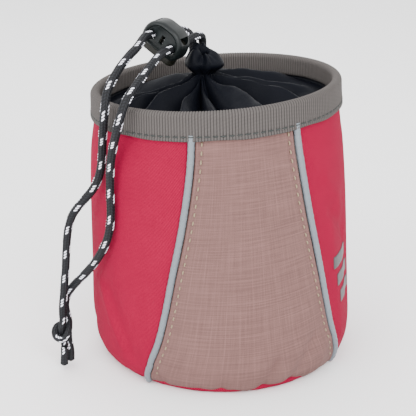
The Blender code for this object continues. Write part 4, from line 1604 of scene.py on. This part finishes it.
@dataclass
class Binding:
    """Grosgrain tape folded over the mouth and sewn through."""

    tape: float = 1.0 * MM
    gap: float = 0.3 * MM
    fabric: float = 1.0 * MM
    outer_drop: float = 10.5 * MM
    inner_drop: float = 8.0 * MM
    columns_per_rib: int = 4
    rib_depth: float = 0.26 * MM
    stitch_up: float = 1.5 * MM
    stitch_pitch: float = 2.9 * MM

    def section(self) -> tuple[np.ndarray, np.ndarray]:
        """Trace the folded tape's cross-section.

        Returns:
            Points as (inset, drop), and how strongly the ribs show at each.
        """
        proud = self.tape + self.gap
        stack = self.fabric + self.gap
        fold = (2 * proud + stack) / 2
        legs = []
        for drop in np.linspace(self.outer_drop, fold * 0.9, 15):
            groove = 0.28 * MM * math.exp(-((self.outer_drop - self.stitch_up - drop) / (0.45 * MM)) ** 2)
            legs.append((-proud + groove, drop, 1.0))
        for step in range(1, 12):
            turn = math.pi * step / 12
            legs.append((-proud + fold * (1 - math.cos(turn)), fold * (1 - math.sin(turn)), 1.0))
        for drop in np.linspace(fold * 0.9, self.inner_drop, 8):
            legs.append((stack + proud, drop, 1.0))
        legs.append((stack + proud - self.tape * 0.5, self.inner_drop + 0.25 * MM, 0.3))
        inside = fold - self.tape
        for drop in np.linspace(self.inner_drop, fold, 4):
            legs.append((stack + self.gap, drop, 0.0))
        for step in range(1, 6):
            turn = math.pi * (6 - step) / 6
            legs.append((-proud + fold - inside * math.cos(turn), fold - inside * math.sin(turn), 0.0))
        for drop in np.linspace(fold, self.outer_drop, 5):
            legs.append((-self.gap, drop, 0.0))
        legs.append((-proud + self.tape * 0.5, self.outer_drop + 0.25 * MM, 0.3))
        rows = np.array(legs)
        return rows[:, :2], rows[:, 2]

    def build(self) -> None:
        """Sweep the section round the mouth with its ribs, and sew it."""
        section, ribbed = self.section()
        columns = RIB_COUNT * self.columns_per_rib
        angle = np.linspace(0, TURN, columns, endpoint=False)[None, :]
        rib = np.abs(np.sin(angle * RIB_COUNT / 2))
        wave = 0.18 * MM * (np.sin(9 * angle + 0.5) + 0.6 * np.sin(17 * angle + 2.0))
        drop = section[:, 1:] + wave * np.clip(section[:, 1:] / self.outer_drop, 0, 1) ** 3
        centre_inset = (self.fabric + self.gap) / 2
        outside = np.sign(section[:, :1] - centre_inset)
        sink = ribbed[:, None] * self.rib_depth * (1 - rib ** 0.7)
        fold = (2 * (self.tape + self.gap) + self.fabric + self.gap) / 2
        on_fold = np.clip(1 - section[:, 1:] / fold, 0, 1)
        inset = section[:, :1] - outside * sink * (1 - on_fold)
        drop = drop + sink * on_fold
        points = WALL.points(np.broadcast_to(angle, drop.shape), 1.0 - drop / WALL.height, inset,
                             folded=False)
        across = np.linspace(0, TURN * TAPE_RADIUS, columns + 1)[None, :]
        along = distances(np.vstack([section, section[:1]]))[:, None]
        uv = np.stack(np.broadcast_arrays(across, along), axis=2)
        skin = Skin()
        skin.grid(points, uv, wrap=True, loop=True)
        tape = skin.build("rim_binding_grosgrain")
        seat(tape, Body.POUCH, TAPE, ["rim_binding"])
        count = round(TURN * TAPE_RADIUS / self.stitch_pitch)
        turn = np.linspace(0, TURN, count, endpoint=False)
        drop = self.outer_drop - self.stitch_up
        places = WALL.points(turn, np.full(count, 1 - drop / WALL.height),
                             -self.tape - self.gap + 0.22 * MM, folded=False)
        outward = np.stack([np.sin(turn), -np.cos(turn), np.zeros(count)], axis=1)
        sewn = stitches("rim_binding_stitching", places, outward, 2.3 * MM, 0.26 * MM)
        seat(sewn, Body.POUCH, GREY_THREAD)


# ---------------------------------------------------------------- gathered closure


@dataclass
class GatheredCollar:
    """Thin nylon from inside the binding to the neck, and on into the frilled hem."""

    neck: Vector = Vector((-6.9, 5.7, 0.0)) * MM
    neck_height: float = 114.4 * MM
    neck_radius: float = 4.3 * MM
    start: float = 104.8 * MM
    inset: float = 3.1 * MM
    thickness: float = 0.35 * MM
    cord_height: float = 120.0 * MM
    columns: int = 420
    rise: tuple = ((0.0, 0.0), (0.08, 0.10), (0.3, 0.30), (0.6, 0.46), (0.85, 0.66), (1.0, 1.0))
    swing: tuple = ((0.0, 0.0), (0.06, 0.35), (0.2, 2.2), (0.45, 4.3), (0.7, 4.6), (0.88, 3.0), (1.0, 0.9))
    ridges: tuple = (-166, -138, -108, -84, -58, -30, -9, 17, 51, 82, 112, 148)
    heights: tuple = (0.8, 1.0, 0.7, 1.0, 1.15, 0.8, 0.6, 1.1, 1.2, 0.8, 1.0, 0.9)
    tuck: tuple = ((1.3, 5.6), (1.3, 6.6), (1.3, 7.6), (1.35, 8.6), (1.7, 9.5), (2.4, 9.9))
    valley: float = math.radians(-16.0)
    petal: float = math.radians(62.0)
    petal_height: float = 119.4 * MM
    hem_path: tuple = ((3.6, 115.6), (4.6, 116.8), (6.1, 118.0), (6.9, 119.0), (7.1, 120.0), (6.9, 121.2),
                       (6.4, 122.4), (5.7, 123.6), (4.8, 124.6), (3.8, 125.2), (2.8, 125.3), (2.0, 124.7),
                       (1.7, 123.4), (1.9, 121.8), (2.3, 120.0), (2.5, 118.0), (2.5, 116.2))

    def pleats(self, angle: np.ndarray) -> np.ndarray:
        """Height of the big folds, from about -1 in a hollow to 1 on a ridge.

        Args:
            angle: Angles round the mouth in radians.

        Returns:
            The fold height at each.
        """
        crests = np.radians(np.array([self.ridges[-1] - 360, *self.ridges, self.ridges[0] + 360], float))
        strength = np.array([self.heights[-1], *self.heights, self.heights[0]])
        wrapped = (angle - crests[0]) % TURN + crests[0]
        left = np.clip(np.searchsorted(crests, wrapped, side="right") - 1, 0, len(crests) - 2)
        share = (wrapped - crests[left]) / (crests[left + 1] - crests[left])
        height = strength[left] * (1 - share) + strength[left + 1] * share
        dip = np.sin(math.pi * share) ** 1.4
        return height - dip * (1.0 + height)

    def fine(self, spot: np.ndarray, size: float) -> np.ndarray:
        """Smooth noise at each point of a grid.

        Args:
            spot: Points, with 3 as the last axis.
            size: Grain size in metres.

        Returns:
            Noise from about -1 to 1.
        """
        flat = spot.reshape(-1, 3) / size
        return np.array([noise.noise(Vector(point)) for point in flat]).reshape(spot.shape[:-1])

    def skirt(self) -> np.ndarray:
        """Points from the rim to the neck, rows by columns."""
        angle = np.linspace(0, TURN, self.columns, endpoint=False)[None, :]
        v = np.linspace(0, 1, 44)[:, None]
        rim = WALL.points(angle, np.full_like(angle, self.start / WALL.height), self.inset, folded=False)
        spin = np.stack([np.sin(angle), -np.cos(angle), np.zeros_like(angle)], axis=-1)
        neck = np.array(self.neck) + self.neck_radius * spin + np.array([0.0, 0.0, self.neck_height])
        point = rim * (1 - v[..., None]) + neck * v[..., None]
        rise = np.vectorize(lambda s: smooth_table(self.rise, s))(v)
        point[..., 2] = rim[..., 2] + (neck[..., 2] - rim[..., 2]) * rise
        bend = angle + 0.16 * v * np.sin(2 * angle + 1.0) + 0.12 * v * v * np.sin(5 * angle + 2.0)
        fold = self.pleats(bend)
        swing = np.vectorize(lambda s: smooth_table(self.swing, s))(v) * MM
        side = np.stack([np.cos(angle), np.sin(angle), np.zeros_like(angle)], axis=-1)
        lean = 0.55 * np.sin(3 * angle + 0.6)
        point[..., 2] += swing * (fold - 0.15)
        point += side * (lean * swing * (fold + 0.6) * np.sin(math.pi * v))[..., None]
        small = np.sin(23 * angle + 3 * np.sin(4 * angle)) * v ** 3 * 0.9 * MM
        point[..., 2] += small
        fade = np.sin(math.pi * np.clip(v, 0, 1)) ** 0.5
        point[..., 2] += fade * (1.5 * self.fine(point, 11 * MM) + 0.25 * self.fine(point, 4.5 * MM)) * MM
        tuck = [WALL.points(angle, 1 - drop * MM / WALL.height, inset * MM, folded=False)
                for inset, drop in self.tuck]
        return np.concatenate([*tuck, point], axis=0)

    def hem(self) -> np.ndarray:
        """Points up the hem's outside, over its top and down inside, rows by columns."""
        angle = np.linspace(0, TURN, self.columns, endpoint=False)[None, :]
        path = smooth_route([(radius, height, 0.0) for radius, height in self.hem_path], 0.55)[:, :2]
        radius, height = path[:, :1] * MM, path[:, 1:] * MM
        outer = np.clip((radius - 1.7 * MM) / (3.0 * MM), 0, 1)
        free = 1 - np.exp(-((height - self.cord_height) / (1.9 * MM)) ** 2)
        pleat = np.sin(5 * angle + 1.1 + 1.2 * np.sin(2 * angle))
        pleat = pleat + 0.5 * np.sin(11 * angle + 2 * np.sin(3 * angle))
        swell = np.clip(pleat, 0, 2) * 0.45 * MM * (0.4 + 0.6 * free)
        crease = np.clip(-pleat, 0, 2) * 0.8 * MM * free
        away = (angle - self.valley + math.pi) % TURN - math.pi
        gap = 0.26 * np.exp(-(away / 0.30) ** 2)
        beside = ((angle - self.petal) / 0.45) ** 2 + ((height - self.petal_height) / (2.4 * MM)) ** 2
        petal = 1.3 * MM * np.exp(-beside)
        radius = np.maximum((radius + outer * (swell - crease + petal)) * (1 - gap), 1.2 * MM)
        tall = np.clip((height - 120 * MM) / (5 * MM), 0, 1)
        height = height + tall * MM * (1.7 * np.cos(angle + math.radians(150)) + 0.35 * pleat - 3.0 * gap)
        x = self.neck.x + radius * np.sin(angle)
        y = self.neck.y - radius * np.cos(angle)
        return np.stack([x, y, np.broadcast_to(height, x.shape)], axis=-1)

    def build(self) -> None:
        """Make the collar and its hem as one gathered sheet."""
        middle = np.concatenate([self.skirt(), self.hem()], axis=0)
        down = np.gradient(middle, axis=0)
        round_ = (np.roll(middle, -1, axis=1) - np.roll(middle, 1, axis=1)) / 2
        normal = np.cross(round_, down)
        normal /= np.maximum(np.linalg.norm(normal, axis=2, keepdims=True), 1e-12)
        outer = middle + normal * self.thickness / 2
        inner = middle - normal * self.thickness / 2
        collar = cloth_slab("gathered_collar", outer, inner, wrap=True)
        seat(collar, Body.POUCH, COLLAR_NYLON, ["closure_collar", "collar_hem"])


# ---------------------------------------------------------------- back


@dataclass
class BackStraps:
    """Belt loop, ring tab and D-ring."""

    loop_width: float = 25.0 * MM
    webbing: float = 1.5 * MM
    loop_path: tuple = ((55.0, 12.0), (55.0, 19.0), (60.5, 23.5), (60.5, 62.5), (53.2, 67.0), (52.8, 75.0))
    ring_axis: Vector = Vector((-2.3, 54.9, 88.0)) * MM
    ring_wire: float = 1.1 * MM
    ring_half_width: float = 7.6 * MM
    ring_drop: float = 10.0 * MM
    tab_width: float = 10.0 * MM
    tab_tape: float = 1.0 * MM

    def strap(self, name: str, path: np.ndarray, centre: float, width: float, thickness: float,
              outward: float) -> bpy.types.Object:
        """Lay a ribbed strap along a path in the YZ plane.

        Args:
            name: The piece's name.
            path: Points (y, z) of its face.
            centre: X of its middle.
            width: Its width.
            thickness: Its thickness.
            outward: 1 if the thickness goes to the path's left, else -1.

        Returns:
            The strap.
        """
        ahead = np.gradient(path, axis=0)
        ahead /= np.linalg.norm(ahead, axis=1, keepdims=True)
        normal = np.stack([ahead[:, 1], -ahead[:, 0]], axis=1) * outward
        across = np.linspace(-0.5, 0.5, 61)
        ridge = 0.10 * MM * np.abs(np.sin(across * math.pi * width / (1.5 * MM)))
        edge = np.clip((np.abs(across) - 0.47) / 0.03, 0, 1) ** 2 * thickness * 0.3
        x = centre + across[None, :] * width

        def face(offset: np.ndarray) -> np.ndarray:
            """Points of the strap's face at an offset from the path."""
            y = path[:, :1] + normal[:, :1] * offset[None, :]
            z = path[:, 1:] + normal[:, 1:] * offset[None, :]
            return np.stack(np.broadcast_arrays(x, y, z), axis=2)

        return cloth_slab(name, face(thickness - ridge - edge), face(edge + 0.0 * across))

    def belt_loop(self) -> None:
        """Make the belt loop and the stitching that holds its two ends."""
        route = smooth_route([(y, z, 0.0) for y, z in self.loop_path], 0.7)[:, :2] * MM
        centre = WALL.lean / 3
        loop = self.strap("belt_loop_webbing", route, centre, self.loop_width, self.webbing, 1.0)
        seat(loop, Body.POUCH, WEBBING, ["belt_loop"])
        rows = []
        for index, (low, high, near) in enumerate(((12.8, 17.6, 55.0), (69.0, 74.2, 52.95))):
            half = self.loop_width / 2 / MM - 2.0
            corners = [(-half, low), (half, low), (half, high), (-half, high), (-half, low)]
            for first, second in zip(corners, corners[1:]):
                count = max(2, round(math.dist(first, second) / 2.4))
                places = np.linspace(first, second, count)
                y = np.full(count, (near + 1.42) * MM)
                spots = np.stack([centre + places[:, 0] * MM, y, places[:, 1] * MM], axis=1)
                outward = np.tile([0.0, 1.0, 0.0], (count, 1))
                rows.append(stitches(f"box_{index}", spots, outward, 1.9 * MM, 0.25 * MM))
        seat(join(rows, "belt_loop_stitching"), Body.POUCH, BLACK_THREAD)

    def ring_tab(self) -> None:
        """Fold the tab round the ring's bar."""
        wrap = self.ring_wire / MM + 0.3 + self.tab_tape / MM
        path = [(-4.6, 11.5), (-3.6, 4.0)]
        for step in range(7):
            turn = math.radians(180 + 200 * step / 6)
            path.append((wrap * math.cos(turn), wrap * math.sin(turn)))
        path += [(1.2, 3.4), (-1.2, 5.4), (-2.2, 11.5)]
        route = smooth_route([(y, z, 0.0) for y, z in path], 0.35)[:, :2] * MM
        route += np.array([self.ring_axis.y, self.ring_axis.z])
        tab = self.strap("ring_tab_webbing", route, self.ring_axis.x, self.tab_width, self.tab_tape, -1.0)
        seat(tab, Body.POUCH, WEBBING, ["ring_tab"])

    def ring(self) -> None:
        """Spin the D-ring from its wire: a half turn below, two corners, and a bridge for the bar."""
        Bench.clear()
        corner = 2.0 * MM
        bow = self.ring_half_width
        place = Vector((bow, 0.0, -corner))
        bpy.ops.mesh.primitive_circle_add(vertices=24, radius=self.ring_wire, location=place)
        bench = Bench("d_ring_wire")
        self.spin_end(lambda point: True, 180.0, Vector((0.0, 0.0, -corner)), 48)
        stretch = (self.ring_drop - corner) / bow
        data = bench.piece.data
        for vertex in data.vertices:
            if vertex.co.z < -corner:
                vertex.co.z = -corner + (vertex.co.z + corner) * stretch
        for side in (1, -1):
            centre = Vector((side * (bow - corner), 0.0, -corner))
            self.spin_end(lambda point: abs(point.z + corner) < 1e-6 and point.x * side > 0,
                          -90.0 * side, centre, 10)
        bpy.ops.object.mode_set(mode="EDIT")
        bpy.ops.mesh.select_mode(type="EDGE")
        bpy.ops.mesh.select_all(action="DESELECT")
        edit = bmesh.from_edit_mesh(data)
        for edge in edit.edges:
            edge.select_set(edge.is_boundary)
        bmesh.update_edit_mesh(data)
        bpy.ops.mesh.bridge_edge_loops()
        bpy.ops.mesh.select_all(action="SELECT")
        bpy.ops.mesh.remove_doubles(threshold=0.005 * MM)
        bpy.ops.mesh.normals_make_consistent(inside=False)
        bpy.ops.object.mode_set(mode="OBJECT")
        ring = bench.finish(Matrix.Translation(self.ring_axis))
        seat(ring, Body.RING, STEEL, ["d_ring"])

    @staticmethod
    def spin_end(test: Callable[[Vector], bool], degrees: float, centre: Vector, steps: int) -> None:
        """Spin an open end of the wire about the Y axis.

        Args:
            test: Says whether a point belongs to that end.
            degrees: Angle to spin through.
            centre: A point on the axis.
            steps: Number of steps.
        """
        data = bpy.context.object.data
        bpy.ops.object.mode_set(mode="EDIT")
        bpy.ops.mesh.select_mode(type="EDGE")
        bpy.ops.mesh.select_all(action="DESELECT")
        edit = bmesh.from_edit_mesh(data)
        for edge in edit.edges:
            edge.select_set(not edge.is_manifold and all(test(vertex.co) for vertex in edge.verts))
        bmesh.update_edit_mesh(data)
        bpy.ops.mesh.spin(steps=steps, angle=math.radians(degrees), center=centre, axis=(0.0, 1.0, 0.0))
        bpy.ops.object.mode_set(mode="OBJECT")

    def build(self) -> None:
        """Make everything on the back."""
        self.belt_loop()
        self.ring()
        self.ring_tab()


def main() -> None:
    """Build the studio and then every sub-assembly in order."""
    logging.basicConfig(level=logging.INFO, format="%(name)s: %(message)s")
    Studio().build()
    lock = CordLock().build()
    Drawstring().build(lock)
    PouchWall().build()
    Binding().build()
    GatheredCollar().build()
    BackStraps().build()


if __name__ == "__main__":
    main()
